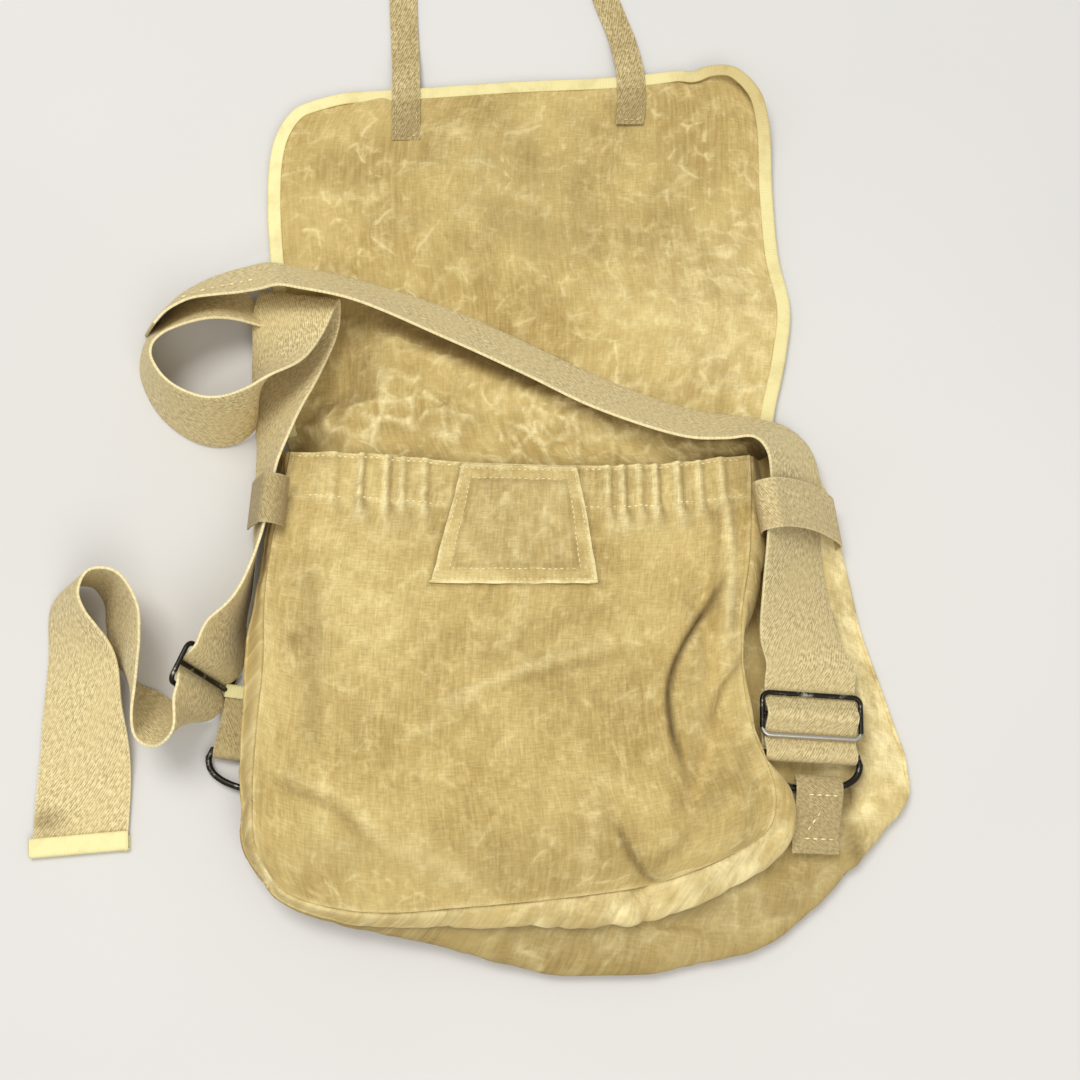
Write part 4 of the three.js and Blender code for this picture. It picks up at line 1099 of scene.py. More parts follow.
def wire(name, paths, thick, material, nodes, bared=None):
    """Bent wire along closed or open paths, as one mesh, rubbed bright where bared says."""
    curve = bpy.data.curves.new(name + "_path", "CURVE")
    curve.dimensions = "3D"
    curve.bevel_depth = thick / 2 * MM
    curve.bevel_resolution = 3
    curve.use_fill_caps = True
    for points, closed in paths:
        spline = curve.splines.new("POLY")
        spline.points.add(len(points) - 1)
        for knot, point in zip(spline.points, points):
            knot.co = (*(point * MM), 1.0)
        spline.use_cyclic_u = closed
    bent = bpy.data.objects.new(name + "_path", curve)
    shape = bmesh.new()
    shape.from_mesh(bent.to_mesh())
    bent.to_mesh_clear()
    bpy.data.objects.remove(bent)
    bpy.data.curves.remove(curve)
    rub = shape.verts.layers.float.new("rub")
    for vert in shape.verts:
        vert[rub] = bared(vert.co / MM) if bared else 0.0
    return finished(name, shape, material, nodes)


# Settings

def colour(name, description, code):
    """A colour that a user may change."""
    return FloatVectorProperty(
        name=name, description=description, subtype="COLOR", size=4, min=0, max=1, default=linear(code))


class BagLook(bpy.types.PropertyGroup):
    """Colours of the cloth, webbing, tape, thread and steel."""

    canvas: colour("Canvas", "Washed canvas", "#bda568")
    canvas_deep: colour("Canvas, deep", "Canvas where less has washed out", "#a38a51")
    canvas_pale: colour("Canvas, pale", "Canvas where more has washed out", "#d1bb7e")
    canvas_rubbed: colour("Canvas, rubbed", "Rubbed creases and edges", "#e6d59d")
    # Colour of dirt, and of painted shade in creases, fold valleys and under edges
    canvas_soil: colour("Soil", "Soil in the folds", "#6b5730")
    webbing: colour("Webbing", "Shoulder strap", "#d2be87")
    webbing_deep: colour("Webbing, deep", "Between the ribs", "#9c8453")
    webbing_pale: colour("Webbing, pale", "Worn ribs", "#efdfab")
    keeper: colour("Keepers", "Keepers and tabs", "#bca674")
    closing: colour("Closing straps", "Narrow straps of the flap", "#96804f")
    selvage: colour("Selvage", "Edges of the webbing", "#ecdfae")
    tape: colour("Tape", "Binding tape", "#e8dda0")
    tape_soiled: colour("Tape, soiled", "Handled parts of the tape", "#b8a066")
    thread: colour("Thread", "Sewing thread", "#efe2ae")
    thread_grey: colour("Thread, handled", "Handled sewing thread", "#c8b57c")
    steel_black: colour("Steel, black", "Black finish of the wire", "#2e2a25")
    steel_bare: colour("Steel, bare", "Rubbed bare wire", "#b5b0a2")


class BagCloth(bpy.types.PropertyGroup):
    """Sizes of folds and stitches."""

    cell: FloatProperty(
        name="Cloth cell", description="Side of a cell of the cloth's mesh", default=1.25 * MM, min=0.5 * MM,
        unit="LENGTH")
    crumple: FloatProperty(
        name="Crumple", description="Height of the flap's fine creases", default=1.7 * MM, min=0,
        unit="LENGTH")
    ripple: FloatProperty(
        name="Ripple", description="Height of the front panel's fine creases", default=0.5 * MM, min=0,
        unit="LENGTH")
    stitch: FloatProperty(
        name="Stitch", description="Length of a stitch", default=2.4 * MM, min=0.5 * MM, unit="LENGTH")
    stitch_gap: FloatProperty(
        name="Stitch gap", description="Cloth between two stitches", default=1.0 * MM, min=0.2 * MM,
        unit="LENGTH")
    thread: FloatProperty(
        name="Thread", description="Thickness of the thread", default=0.9 * MM, min=0.2 * MM, unit="LENGTH")


class BagStage(bpy.types.PropertyGroup):
    """Floor, light and camera."""

    floor: colour("Floor", "Pale floor", "#d2cfc9")
    distance: FloatProperty(
        name="Distance", description="From the camera to what it aims at", default=0.82, min=0.1,
        unit="LENGTH")
    elevation: FloatProperty(
        name="Elevation", description="Height of the camera over the floor", default=math.radians(76),
        subtype="ANGLE")
    lens: FloatProperty(
        name="Lens", description="Focal length in millimetres", default=48.38, min=1, unit="CAMERA")
    key_power: FloatProperty(name="Key light", description="Power of the large light", default=21.0, min=0)
    fill_power: FloatProperty(name="Fill light", description="Power of the fill light", default=13.0, min=0)
    sky: FloatProperty(name="Sky", description="Strength of the light from all round", default=0.6, min=0)


# Stage

AIM = Vector((-17, 86, 0))
FLOOR_HALF = 4.0
FLOOR_DROP = 0.4
FLOOR_SHADE = "#c9c6c0"
SKY_TINT = "#f4f6fa"
SENSOR_WIDTH = 36.0
LIGHTS = table("name x y z size", [("key", -420, 520, 1800, 0.8), ("fill", 350, -900, 1500, 1.0)])


class BAG_OT_stage(bpy.types.Operator):
    """Lay the floor, hang the lights and set the camera"""

    bl_idname = "bag.stage"
    bl_label = "Stage"

    def execute(self, context):
        """Make the stage."""
        stage = context.scene.bag_stage
        shape = bmesh.new()
        bmesh.ops.create_grid(shape, x_segments=1, y_segments=1, size=FLOOR_HALF)
        bmesh.ops.translate(shape, verts=shape.verts, vec=(0, 0, -FLOOR_DROP * MM))
        mesh = bpy.data.meshes.new("floor")
        shape.to_mesh(mesh)
        shape.free()
        material, tree, shader = new_material("matt_floor")
        spot = node(tree, "ShaderNodeTexCoord").outputs["Object"]
        tone = node(tree, "ShaderNodeTexNoise", {"Vector": spot, "Scale": 3.0, "Detail": 2.0})
        tint = node(tree, "ShaderNodeMix", {
            FACTOR: tone.outputs["Fac"], FIRST: stage.floor, SECOND: linear(FLOOR_SHADE)}, data_type="RGBA")
        fill(tree, shader, {"Base Color": tint.outputs[MIXED], "Roughness": 0.95})
        mesh.materials.append(material)
        floor = bpy.data.objects.new("floor", mesh)
        context.scene.collection.objects.link(floor)

        world = bpy.data.worlds.new("studio")
        world.use_nodes = True
        sky = world.node_tree.nodes["Background"]
        fill(world.node_tree, sky, {"Color": linear(SKY_TINT), "Strength": stage.sky})
        context.scene.world = world
        for light in LIGHTS:
            place = Vector((light.x, light.y, light.z))
            data = bpy.data.lights.new(light.name, "AREA")
            data.size = light.size
            data.energy = getattr(stage, light.name + "_power")
            lamp = bpy.data.objects.new(light.name, data)
            lamp.location = place * MM
            lamp.rotation_euler = (AIM - place).to_track_quat("-Z", "Y").to_euler()
            context.scene.collection.objects.link(lamp)

        data = bpy.data.cameras.new("camera")
        data.sensor_width = SENSOR_WIDTH
        data.lens = stage.lens
        camera = bpy.data.objects.new("camera", data)
        back = stage.distance * math.cos(stage.elevation)
        camera.location = AIM * MM + Vector((0, -back, stage.distance * math.sin(stage.elevation)))
        camera.rotation_euler = (math.pi / 2 - stage.elevation, 0, 0)
        context.scene.collection.objects.link(camera)
        context.scene.camera = camera
        context.scene.view_settings.view_transform = "Standard"
        return {"FINISHED"}


# Front panel and patch

def gathered(x, below):
    """The gathers' height at a place under the hem's lower row of stitches."""
    past = max(below, 0.0)
    reach = hump(past, 13)
    return sum(
        1.8 * gather.height * reach * hump(x - gather.x - past * 0.12, gather.width + past * 0.22)
        for gather in GATHERS)


def front_surface(u, v, ripple):
    """The front panel's middle surface with gathers, sewn rows and fine folds."""
    point = front_form(u, v)
    x, y = point.x, point.y
    calm = eased(min(u, 1 - u, v), 0, 0.05)
    height = calm * (fold_height(FINE_FOLDS, x, y) + creased(x, y)[0])
    height += gathered(x, (HEM_SHARE - v) * FRONT_HEIGHT)
    for row in HEM_ROWS:
        height -= 0.55 * hump((v - row) * FRONT_HEIGHT, 1.5)
    wrinkles = crease(x, y, 34, 5, 3.0) * patchy(x, y, 50, 1.0) + noise.noise(Vector((x / 16, y / 22, 9.0)))
    height += calm * ripple * wrinkles
    height += 0.35 * eased(v, HEM_SHARE - 0.004, HEM_SHARE + 0.004)
    return point + UP * height


def front_touch(u, v):
    """Crumple, rub, dirt and painted shade of the front panel."""
    point = FRONT.at(u, v)
    x, y = point.x, point.y
    crumple = 0.2 + 0.25 * hump(y + 105, 30) + 0.2 * hump(math.hypot(x - 80, y), 50)
    rub = 0.5 * hump((1 - v) * FRONT_HEIGHT, 1.5) + 0.3 * hump((v - HEM_SHARE) * FRONT_HEIGHT + 1.5, 1.3)
    rub += 0.32 * gathered(x + 0.5, (HEM_SHARE - v) * FRONT_HEIGHT)
    rub += 0.3 * hump(min(u, 1 - u) * FRONT_WAIST, 2.0) + 0.3 * hump(v * FRONT_HEIGHT, 2.0)
    folds = fold_height(FINE_FOLDS, x, y)
    rub += (0.17 * max(folds, 0) + 0.14 * hump(math.hypot(x + 122, y - 40), 50)
            + 0.1 * eased(v, HEM_SHARE - 0.01, HEM_SHARE))
    # Painted shade in the sharp creases and in the fine folds' valleys, and a small dark spot at the left
    soil = 0.72 * creased(x, y)[1] + 0.15 * max(-folds, 0) + 0.4 * hump(math.hypot(x + 146, y - 22), 4)
    soil += 0.09 * hump(math.hypot(x + 5, y + 5), 55)
    # Darker towards the bottom edge, and painted shade on one side of each gather
    soil += 0.14 * hump(y + 92, 22) + 0.2 * gathered(x - 2.4, (HEM_SHARE - v) * FRONT_HEIGHT)
    # Painted shadow round the patch's edge
    soil += 0.4 * hump(patch_outside(u, v) - 0.6, 1.5)
    return crumple, rub, soil


class BAG_OT_front_panel(bpy.types.Operator):
    """Make the front panel with its gathered hem, and the patch sewn on it"""

    bl_idname = "bag.front_panel"
    bl_label = "Front panel and patch"

    def execute(self, context):
        """Make the panel and the patch."""
        cloth = context.scene.bag_cloth
        ripple = cloth.ripple / MM
        cells = (round(FRONT_WIDTH * MM / cloth.cell), round(FRONT_HEIGHT * MM / cloth.cell))
        shape = shaped_grid(
            cells, evenly(*FRONT_FLAT), lambda a, b: front_surface(a, b, ripple), front_touch)
        panel = finished(
            "front_canvas", shape, canvas_of(context), ["front_panel"], CANVAS, CANVAS_ROUND)

        shape = shaped_grid(PATCH_CELLS, evenly(*PATCH_SIZE), patch_surface, patch_touch)
        patch = finished(
            "front_patch_canvas", shape, canvas_of(context), ["front_patch"],
            PATCH_WALL, PATCH_ROUND)
        return {"FINISHED"}


def patch_share(a, b):
    """The front panel's shares at a place of the patch."""
    low = mixed(PATCH.bottom_left, PATCH.bottom_right, a)
    high = mixed(PATCH.top_left, PATCH.top_right, a)
    wobble = 0.0018 * noise.noise(Vector((a * 9, b * 9, 2.0)))
    return mixed(low, high, b) + wobble, mixed(PATCH.low, PATCH.high, b) - wobble


def patch_outside(u, v):
    """The distance of a place of the front panel from the patch's outline, outside it."""
    b = (v - PATCH.low) / (PATCH.high - PATCH.low)
    left = mixed(PATCH.bottom_left, PATCH.top_left, b)
    right = mixed(PATCH.bottom_right, PATCH.top_right, b)
    return max(max(left - u, u - right) * PATCH_SPAN, (PATCH.low - v) * FRONT_HEIGHT)


def patch_inset(a, b):
    """The distance from the patch's nearest edge."""
    return min(a, 1 - a) * PATCH_SIZE[0], min(b, 1 - b) * PATCH_SIZE[1]


def patch_surface(a, b):
    """The patch's middle surface: turned edges, two sewn rows and a slack middle."""
    u, v = patch_share(a, b)
    point = front_form(u, v)
    near = min(patch_inset(a, b))
    height = CANVAS / 2 + GAP + PATCH_WALL / 2 + 1.0 * eased(near, -0.5, 1.2)
    for row in PATCH_ROWS:
        height -= 0.5 * hump(near - row, 1.1)
    slack = eased(near, 8, 18)
    height += slack * (0.7 + 0.5 * noise.noise(Vector((point.x / 5, point.y / 26, 5.0))))
    return point + UP * height


def patch_touch(a, b):
    """Crumple, rub and soil of the patch."""
    side, end = patch_inset(a, b)
    near = min(side, end)
    u, v = patch_share(a, b)
    point = FRONT.at(u, v)
    streak = max(noise.noise(Vector((point.x / 4, point.y / 22, 8.0))), 0)
    rub = 0.95 * hump(near, 1.2) + 0.8 * hump(side, 3.5) * hump(end, 3.5) + 0.5 * streak * eased(near, 8, 14)
    soil = 0.22 * hump(near - PATCH_ROWS[1] - 1.2, 1.5) + 0.12 * eased(near, 7, 10)
    return 0.3, rub + 0.14, soil


# Back panel, flap and its binding

HINGE = 0.53
MOUTH_LIFT = 20


def mouth_lift(x, y):
    """How far the cloth behind the mouth stands off the floor, under the strap."""
    end = max(151.0, 157 + 0.41 * (65 - x))
    beside = 22 * eased(y, 150, 175)
    side = eased(x, beside - 158, beside - 118) * eased(-x, -118, -92)
    return MOUTH_LIFT * side * eased(y, 78, 118) * (1 - eased(y, max(136.0, end - 30), end))


def back_surface(a, b, crumple):
    """The back panel and the flap as one length of cloth."""
    if b < HINGE:
        point = BACK.at(a, b / HINGE)
        rise = mouth_lift(point.x, point.y)
        fine = crumple * sum(flap_ridges(point.x, point.y)) * rise / MOUTH_LIFT
        return Vector((point.x, point.y, CANVAS / 2 + rise + fine))
    v = (b - HINGE) / (1 - HINGE)
    point = flap_form(a, v)
    x, y = point.x, point.y
    near = min(a, 1 - a) * FLAP_WIDTH
    rise = mouth_lift(x, y)
    calm = eased(min(near, (1 - v) * FLAP_HEIGHT), 4, 16) * max(eased(v, 0.0, 0.06), rise / MOUTH_LIFT)
    large, small = flap_ridges(x, y)
    height = crumple * calm * (large + small)
    height += calm * 1.2 * noise.noise(Vector((x / 30, y / 30, 2.0)))
    return point + UP * (max(height, -0.5) + rise)


def flap_ridges(x, y):
    """The flap's large and small ridges, which crowd together at the mouth."""
    mouth = hump(y - 150, 45)
    large = ridged(x, y, 40, 11.0) ** 2 * eased(patchy(x, y, 45, 4.0), 0.35, 0.8)
    small = ridged(x, y, 19, 17.0) ** 2 * eased(patchy(x, y, 30, 6.0) + 0.5 * mouth, 0.45, 0.9)
    return large, (0.5 + mouth) * small


def back_touch(a, b):
    """Crumple, rub and soil of the flap."""
    point = BACK.at(a, b / HINGE) if b < HINGE else FLAP.at(a, (b - HINGE) / (1 - HINGE))
    x, y = point.x, point.y
    crumple = 0.25 + 0.4 * patchy(x, y, 48, 14.0) ** 2 + 0.2 * hump(y - 150, 40)
    crumple += 0.35 * hump(math.hypot(x + 135, y - 265), 45) + 0.3 * hump(math.hypot(x - 95, y - 262), 40)
    large, small = flap_ridges(x, y)
    rub = 0.22 * large ** 3 + 0.22 * small ** 3 + 0.3 * hump(math.hypot(x - 88, y - 215), 55)
    soil = 0.4 * patchy(x, y, 26, 12.0) * hump(y - 300, 70) * hump(x + 25, 60)
    soil += 0.3 * hump(math.hypot(x + 55, y - 292), 16) * patchy(x, y, 12, 7.0)
    return crumple, rub, soil


def flap_rim(share):
    """The flap's free edge from its lower left round the top to its lower right."""
    start = 0.03
    left, top, right = FLAP.left.length * (1 - start), FLAP.top.length, FLAP.right.length * (1 - start)
    far = share * (left + top + right)

    def spot(distance):
        """A point of the edge at a distance along it."""
        if distance < left:
            return flap_form(0, mixed(start, 1, distance / left))
        if distance < left + top:
            return flap_form((distance - left) / top, 1)
        return flap_form(1, mixed(1, start, min((distance - left - top) / right, 1)))

    step = 4.0
    whole = left + top + right
    along = (spot(min(far + step, whole)) - spot(max(far - step, 0))).normalized()
    out = Vector((-along.y, along.x, 0)).normalized()
    return spot(far), out, along.cross(-out).normalized()


def tape_shown(share):
    """The width of tape on the flap's face: narrow along the top, wider down the right side."""
    corners = 0.8 * hump(share - 0.29, 0.05) + 0.6 * hump(share - 0.68, 0.04)
    sides = 0.3 * eased(share, 0.66, 0.74) + 1.4 * eased(share, 0.8, 0.95) - 0.8 * eased(share, 0.27, 0.35)
    return TAPE_SHOWN - corners + sides


def tape_touch(a, b):
    """Crumple, rub and soil of the flap's tape, brown where the upper right corner is handled."""
    return 0.0, 0.0, 0.5 * eased(b, 0.60, 0.66) * (1 - eased(b, 0.70, 0.78)) + 0.2 * eased(b, 0.3, 0.36)


class BAG_OT_back_and_flap(bpy.types.Operator):
    """Make the back panel with the opened flap, and the tape round the flap's edge"""

    bl_idname = "bag.back_and_flap"
    bl_label = "Back, flap and binding"

    def execute(self, context):
        """Make the cloth and its binding."""
        cloth = context.scene.bag_cloth
        crumple = cloth.crumple / MM
        cells = [round(side * MM / cloth.cell * BACK_FINENESS) for side in (FLAP_WIDTH, BACK_LENGTH)]
        shape = shaped_grid(cells, evenly(*BACK_FLAT), lambda a, b: back_surface(a, b, crumple), back_touch)
        back = finished(
            "back_and_flap_canvas", shape, canvas_of(context), ["back_and_flap"],
            CANVAS, CANVAS_ROUND)

        tape = tape_of(context)
        folded_tape(
            "flap_tape", flap_rim, tape_shown, CANVAS / 2 + 0.2, tape, ["flap_binding"],
            2.0, tape_touch)
        return {"FINISHED"}


# Gusset

def rim_stations():
    """Matching points of the front's edge and the back's, from the mouth's right end to its left."""
    body = RIM_ALONG - HEM_CELLS
    ups = [HEM_SHARE * j / body if j <= body else mixed(HEM_SHARE, 1, (j - body) / HEM_CELLS)
           for j in range(RIM_ALONG + 1)]
    edge = TAPE_WIDTH / BACK_WIDTH
    acrosses = [0.0, *[mixed(edge, 1 - edge, i / (RIM_ACROSS - 2)) for i in range(RIM_ACROSS - 1)], 1.0]
    stations = []
    for j in range(RIM_ALONG, 0, -1):
        stations.append((1 - j / RIM_ALONG, front_form(1, ups[j]), BACK.at(1, j / RIM_ALONG)))
    for i in range(RIM_ACROSS, 0, -1):
        stations.append((2 - i / RIM_ACROSS, front_form(i / RIM_ACROSS, 0), BACK.at(acrosses[i], 0)))
    for j in range(RIM_ALONG + 1):
        stations.append((2 + j / RIM_ALONG, front_form(0, ups[j]), BACK.at(0, j / RIM_ALONG)))
    return stations


def outward_ways(points):
    """The level way out of an edge at each point, eased round the corners."""
    last = len(points) - 1
    ways = []
    for k in range(last + 1):
        step = points[min(k + 1, last)] - points[max(k - 1, 0)]
        ways.append(Vector((-step.y, step.x, 0)).normalized())
    for _ in range(2):
        ways = [
            (ways[k] + ways[max(k - 1, 0)] + ways[min(k + 1, last)]).normalized() for k in range(last + 1)]
    return ways


def gusset_size(column, at):
    """A column of the gusset's table between its rows."""
    k = 0
    while k < len(GUSSET) - 2 and GUSSET[k + 1].at < at:
        k += 1
    low, high = GUSSET[k], GUSSET[k + 1]
    return mixed(getattr(low, column), getattr(high, column), eased(at, low.at, high.at))


def gusset_profiles():
    """The gusset's cross lines, one at each station of its rim."""
    stations = rim_stations()
    front_out = outward_ways([front for _, front, _ in stations])
    back_out = outward_ways([back for _, _, back in stations])
    profiles = []
    for (at, front, back), out, low_out in zip(stations, front_out, back_out):
        drop = gusset_size("shoulder_drop", at)
        shoulder = front + out * gusset_size("shoulder_out", at) - UP * drop
        skirt = back + low_out * gusset_size("skirt_out", at)
        foot = back + low_out * (SEAM + 3)
        # From the front panel's seam over the shoulder and the ledge to the back panel's seam
        profiles.append(Line([
            front - out * 1.5 - UP * 1.75,
            front + out * 1.4 - UP * 1.1,
            shoulder,
            shoulder + out * 1.2 - UP * (gusset_size("ledge", at) + 0.6),
            Vector((skirt.x, skirt.y, gusset_size("skirt_z", at))),
            Vector((foot.x, foot.y, CANVAS / 2 + 0.2)),
            Vector((*(back + low_out * SEAM).xy, CANVAS / 2 + 0.1))]))
    return profiles


def gusset_ridge(point):
    """The gusset's crumpled ridges, from 0 to 1."""
    x, y = point.x - point.z, point.y - point.z
    return ridged(x, y, 27, 21.0) ** 2 * eased(patchy(x, y, 30, 26.0), 0.3, 0.7)


class BAG_OT_gusset(bpy.types.Operator):
    """Make the gusset between the front panel and the back panel"""

    bl_idname = "bag.gusset"
    bl_label = "Gusset"

    def execute(self, context):
        """Make the gusset."""
        cloth = context.scene.bag_cloth
        profiles = gusset_profiles()
        ribs = [
            Line([profile.station(k / GUSSET_ROWS) for profile in profiles], 4)
            for k in range(GUSSET_ROWS + 1)]
        ripple = cloth.ripple / MM

        def flat(a, b):
            """Flat measure, by the cloth's place and its drop."""
            point = place(a, b)
            return point.x - point.z, point.y - point.z

        def place(a, b):
            """A point of the gusset: a along its rim, b from the front panel down to the back panel."""
            return ribs[round(b * GUSSET_ROWS)].station(a)

        def touch(a, b):
            """Crumple, rub, dirt and painted shade of the gusset."""
            point = place(a, b)
            x, y = point.x, point.y
            upper = 1 - eased(b, 0.40, 0.46)
            low = eased(-y, 60, 100)
            band = mixed(0.0, 0.8, patchy(x, y, 14, 23.0)) * mixed(0.3, 0.9, eased(x, -40, 70))
            rub = 0.2 * hump(b - 0.17, 0.04) + upper * low * band
            rub += 0.35 * hump(b - 0.38, 0.03) * patchy(x, y, 25, 24.0)
            rub += eased(x, 116, 136) * (1 - low) * mixed(0.15, 0.75, patchy(x, y, 16, 25.0))
            rub += 0.1 * max(fold_height(GUSSET_FOLDS, x, y), 0) + 0.4 * gusset_ridge(point) ** 2
            # Painted shade under the bottom's fold line and over the lower band beneath it
            soil = low * (0.25 * hump(b - 0.47, 0.04) + 0.36 * (1 - upper))
            # Painted shade along the seam under the front panel's edge, at the left side and the bottom
            seam = 0.6 * eased(-x, 140, 155) * (1 - low) + low * (hump(x + 66, 40) + 0.8 * hump(x - 66, 30))
            soil += 0.5 * seam * hump(b - 0.11, 0.05)
            # Painted shade in the valleys of the folds
            soil += 0.2 * max(-fold_height(GUSSET_FOLDS, x, y), 0)
            return 0.45, rub, soil

        shape = shaped_grid((round(GUSSET_LENGTH / GUSSET_CELL), GUSSET_ROWS), flat, place, touch)
        bmesh.ops.recalc_face_normals(shape, faces=shape.faces)
        for vert in shape.verts:
            spot = vert.co / MM
            lines = gusset_ridge(spot)
            free = eased(spot.z, 1.5, 6.0)
            across = noise.noise(Vector((spot.x / 8, spot.y / 20, 3.0)))
            small = ripple * (2.8 * lines + 2.0 * noise.noise(spot / 24) + 1.4 * across)
            small *= eased(spot.z, 3.0, 12.0)
            vert.co += vert.normal * free * MM * (small + fold_height(GUSSET_FOLDS, spot.x, spot.y))
        piece = finished(
            "gusset_canvas", shape, canvas_of(context), ["gusset"], CANVAS, CANVAS_ROUND)
        return {"FINISHED"}


# Shoulder strap

def shoulder_straps():
    """The two sewn lengths of the shoulder strap."""
    right = Strap([*RIGHT_SEAT.threaded(RIGHT_THREADING), *placed(STRAP_RIGHT)], WEB_WIDTH, WEB)
    left = Strap(
        [*placed(STRAP_LEFT), *LEFT_SEAT.threaded(LEFT_THREADING), *placed(STRAP_TAIL)], WEB_WIDTH, WEB)
    return right, left


class BAG_OT_shoulder_strap(bpy.types.Operator):
    """Make both lengths of the shoulder strap and the tape round its free end"""

    bl_idname = "bag.shoulder_strap"
    bl_label = "Shoulder strap"

    def execute(self, context):
        """Make the webbing and its end tape."""
        right, left = shoulder_straps()
        webbing = webbing_of(context)

        def tail_stain(a, b):
            """A dark stain near the free end."""
            far = (1 - b) * left.length
            return 0.0, 0.0, 0.55 * hump(far - 16, 7) * hump((a - 0.12) * WEB_WIDTH, 10)

        def right_soil(a, b):
            """The run beside the bag is darker than the rest."""
            return 0.0, 0.0, 0.18 * (1 - eased(b * right.length, 170, 260))

        strap_piece(
            "strap_right", right, webbing, right_soil)
        strap_piece("strap_left", left, webbing, tail_stain)

        end = STRAP_TAIL[-1]
        way = width_way(end.heading + 5, 0)
        out = Vector((way.y, -way.x, 0))
        middle = Vector((end.x, end.y, end.z))
        reach = WEB_WIDTH / 2 + 1

        def rim(share):
            """The strap's cut end, from side to side."""
            return middle + way * mixed(-reach, reach, share), out, UP

        tape = tape_of(context)
        folded_tape(
            "tail_tape", rim, lambda share: TAIL_TAPE_WIDTH, WEB / 2 + GAP, tape, ["tail_binding"],
            1.6)
        return {"FINISHED"}


def narrow_straps():
    """The keepers, the ring tabs, the left loop and the closing straps, each by its node's name."""
    slipped = Seat(KEEPER_RIGHT).wrapped(KEEPER_RIGHT_PATH, KEEPER_SLANT)
    straight = Seat(KEEPER_LEFT).wrapped(KEEPER_LEFT_PATH)
    right_tab = RIGHT_SEAT.threaded(RIGHT_TAB, RIGHT_TAB_ASIDE)
    left_tab = LEFT_RING_SEAT.threaded(LEFT_TAB, LEFT_TAB_ASIDE)
    return {
        "keeper_right": Strap(slipped, KEEPER_WIDTH, KEEPER_WALL),
        "keeper_left": Strap(straight, KEEPER_WIDTH, KEEPER_WALL),
        "ring_tab_right": Strap(right_tab, TAB_WIDTH, TAB_WALL),
        "ring_tab_left": Strap(left_tab, TAB_WIDTH, TAB_WALL),
        "ring_loop_left": Strap(LEFT_RING_SEAT.threaded(LEFT_LOOP), WEB_WIDTH, WEB),
        "flap_strap_left": Strap(placed(CLOSING_LEFT), CLOSING_WIDTH, CLOSING_WALL),
        "flap_strap_right": Strap(placed(CLOSING_RIGHT), CLOSING_WIDTH, CLOSING_WALL)}


class BAG_OT_narrow_straps(bpy.types.Operator):
    """Make the keepers, the ring tabs, the left loop and the closing straps"""

    bl_idname = "bag.narrow_straps"
    bl_label = "Keepers, tabs and closing straps"

    def execute(self, context):
        """Make each narrow strap."""
        keeper = keeper_webbing_of(context)
        closing = closing_webbing_of(context)
        webbing = webbing_of(context)

        def worn(a, b):
            """Webbing that has darkened a little."""
            return 0.0, 0.0, 0.1

        def handled(a, b):
            """Webbing that has darkened all over."""
            return 0.0, 0.0, 0.42

        def sewn_end(a, b):
            """The darker end that is sewn to the flap."""
            sewn_down = 1 - eased(b * CLOSING_LENGTH, CLOSING_SEWN - 1, CLOSING_SEWN + 1)
            return 0.0, 0.0, 0.14 + 0.22 * sewn_down

        straps = narrow_straps()
        for name, material, slot, held, rests_on, touch in (
                ("keeper_right", keeper, "webbing", "folded", ["strap_right"], worn),
                ("keeper_left", keeper, "webbing", "folded", ["strap_left"], handled),
                ("ring_tab_right", keeper, "webbing", "folded", ["gusset"], handled),
                ("ring_tab_left", keeper, "webbing", "folded", ["floor"], handled),
                ("ring_loop_left", webbing, "webbing", "folded", ["floor"], handled),
                ("flap_strap_left", closing, "closing", "laid", ["back_and_flap", "floor"], sewn_end),
                ("flap_strap_right", closing, "closing", "laid", ["back_and_flap", "floor"], sewn_end)):
            strap_piece(name, straps[name], material, touch, across=10, step=1.6)

        def loop_end(share):
            """The left loop's bound end, from side to side."""
            seat = LEFT_RING_SEAT
            edge = seat.at(LEFT_LOOP[0].s, LEFT_LOOP[0].n, mixed(-0.5, 0.5, share) * (WEB_WIDTH + 1))
            return edge, seat.along, -seat.face if seat.face.z < 0 else seat.face

        tape = tape_of(context)
        folded_tape(
            "ring_loop_tape", loop_end, lambda share: LOOP_TAPE_WIDTH, WEB / 2, tape, [],
            1.6)
        return {"FINISHED"}


# Fittings

def buckle_paths(seat):
    """The slide's rounded frame and its middle bar."""
    half = BUCKLE_LENGTH / 2 - BUCKLE_WIRE / 2
    deep = BUCKLE_WIDTH / 2 - BUCKLE_WIRE / 2
    frame_line = []
    for side_w, side_s, first in ((1, 1, 0), (-1, 1, 90), (-1, -1, 180), (1, -1, 270)):
        for k in range(CORNER_STEPS + 1):
            turn = math.radians(first + 90 * k / CORNER_STEPS)
            w = side_w * (half - BUCKLE_CORNER) + BUCKLE_CORNER * math.cos(turn)
            s = side_s * (deep - BUCKLE_CORNER) + BUCKLE_CORNER * math.sin(turn)
            frame_line.append(seat.at(s, 0, w))
    bar = [seat.at(0, 0, w) for w in (-half, -half / 2, 0, half / 2, half)]
    return [(frame_line, True), (bar, False)]


def ring_path(seat, at):
    """The D-ring's straight bar and its bow."""
    half = RING_LENGTH / 2 - RING_WIRE / 2
    deep = RING_DEPTH - RING_WIRE
    line = [(mixed(half - 1.5, -half + 1.5, k / BAR_STEPS), 0.0) for k in range(BAR_STEPS + 1)]
    for k in range(1, BOW_STEPS):
        turn = math.pi * k / BOW_STEPS
        line.append((-half * math.cos(turn) * (1 - 0.06 * math.sin(turn)), deep * math.sin(turn) ** 0.55))
    return [([seat.at(at[0] - s, at[1], w) for w, s in line], True)]


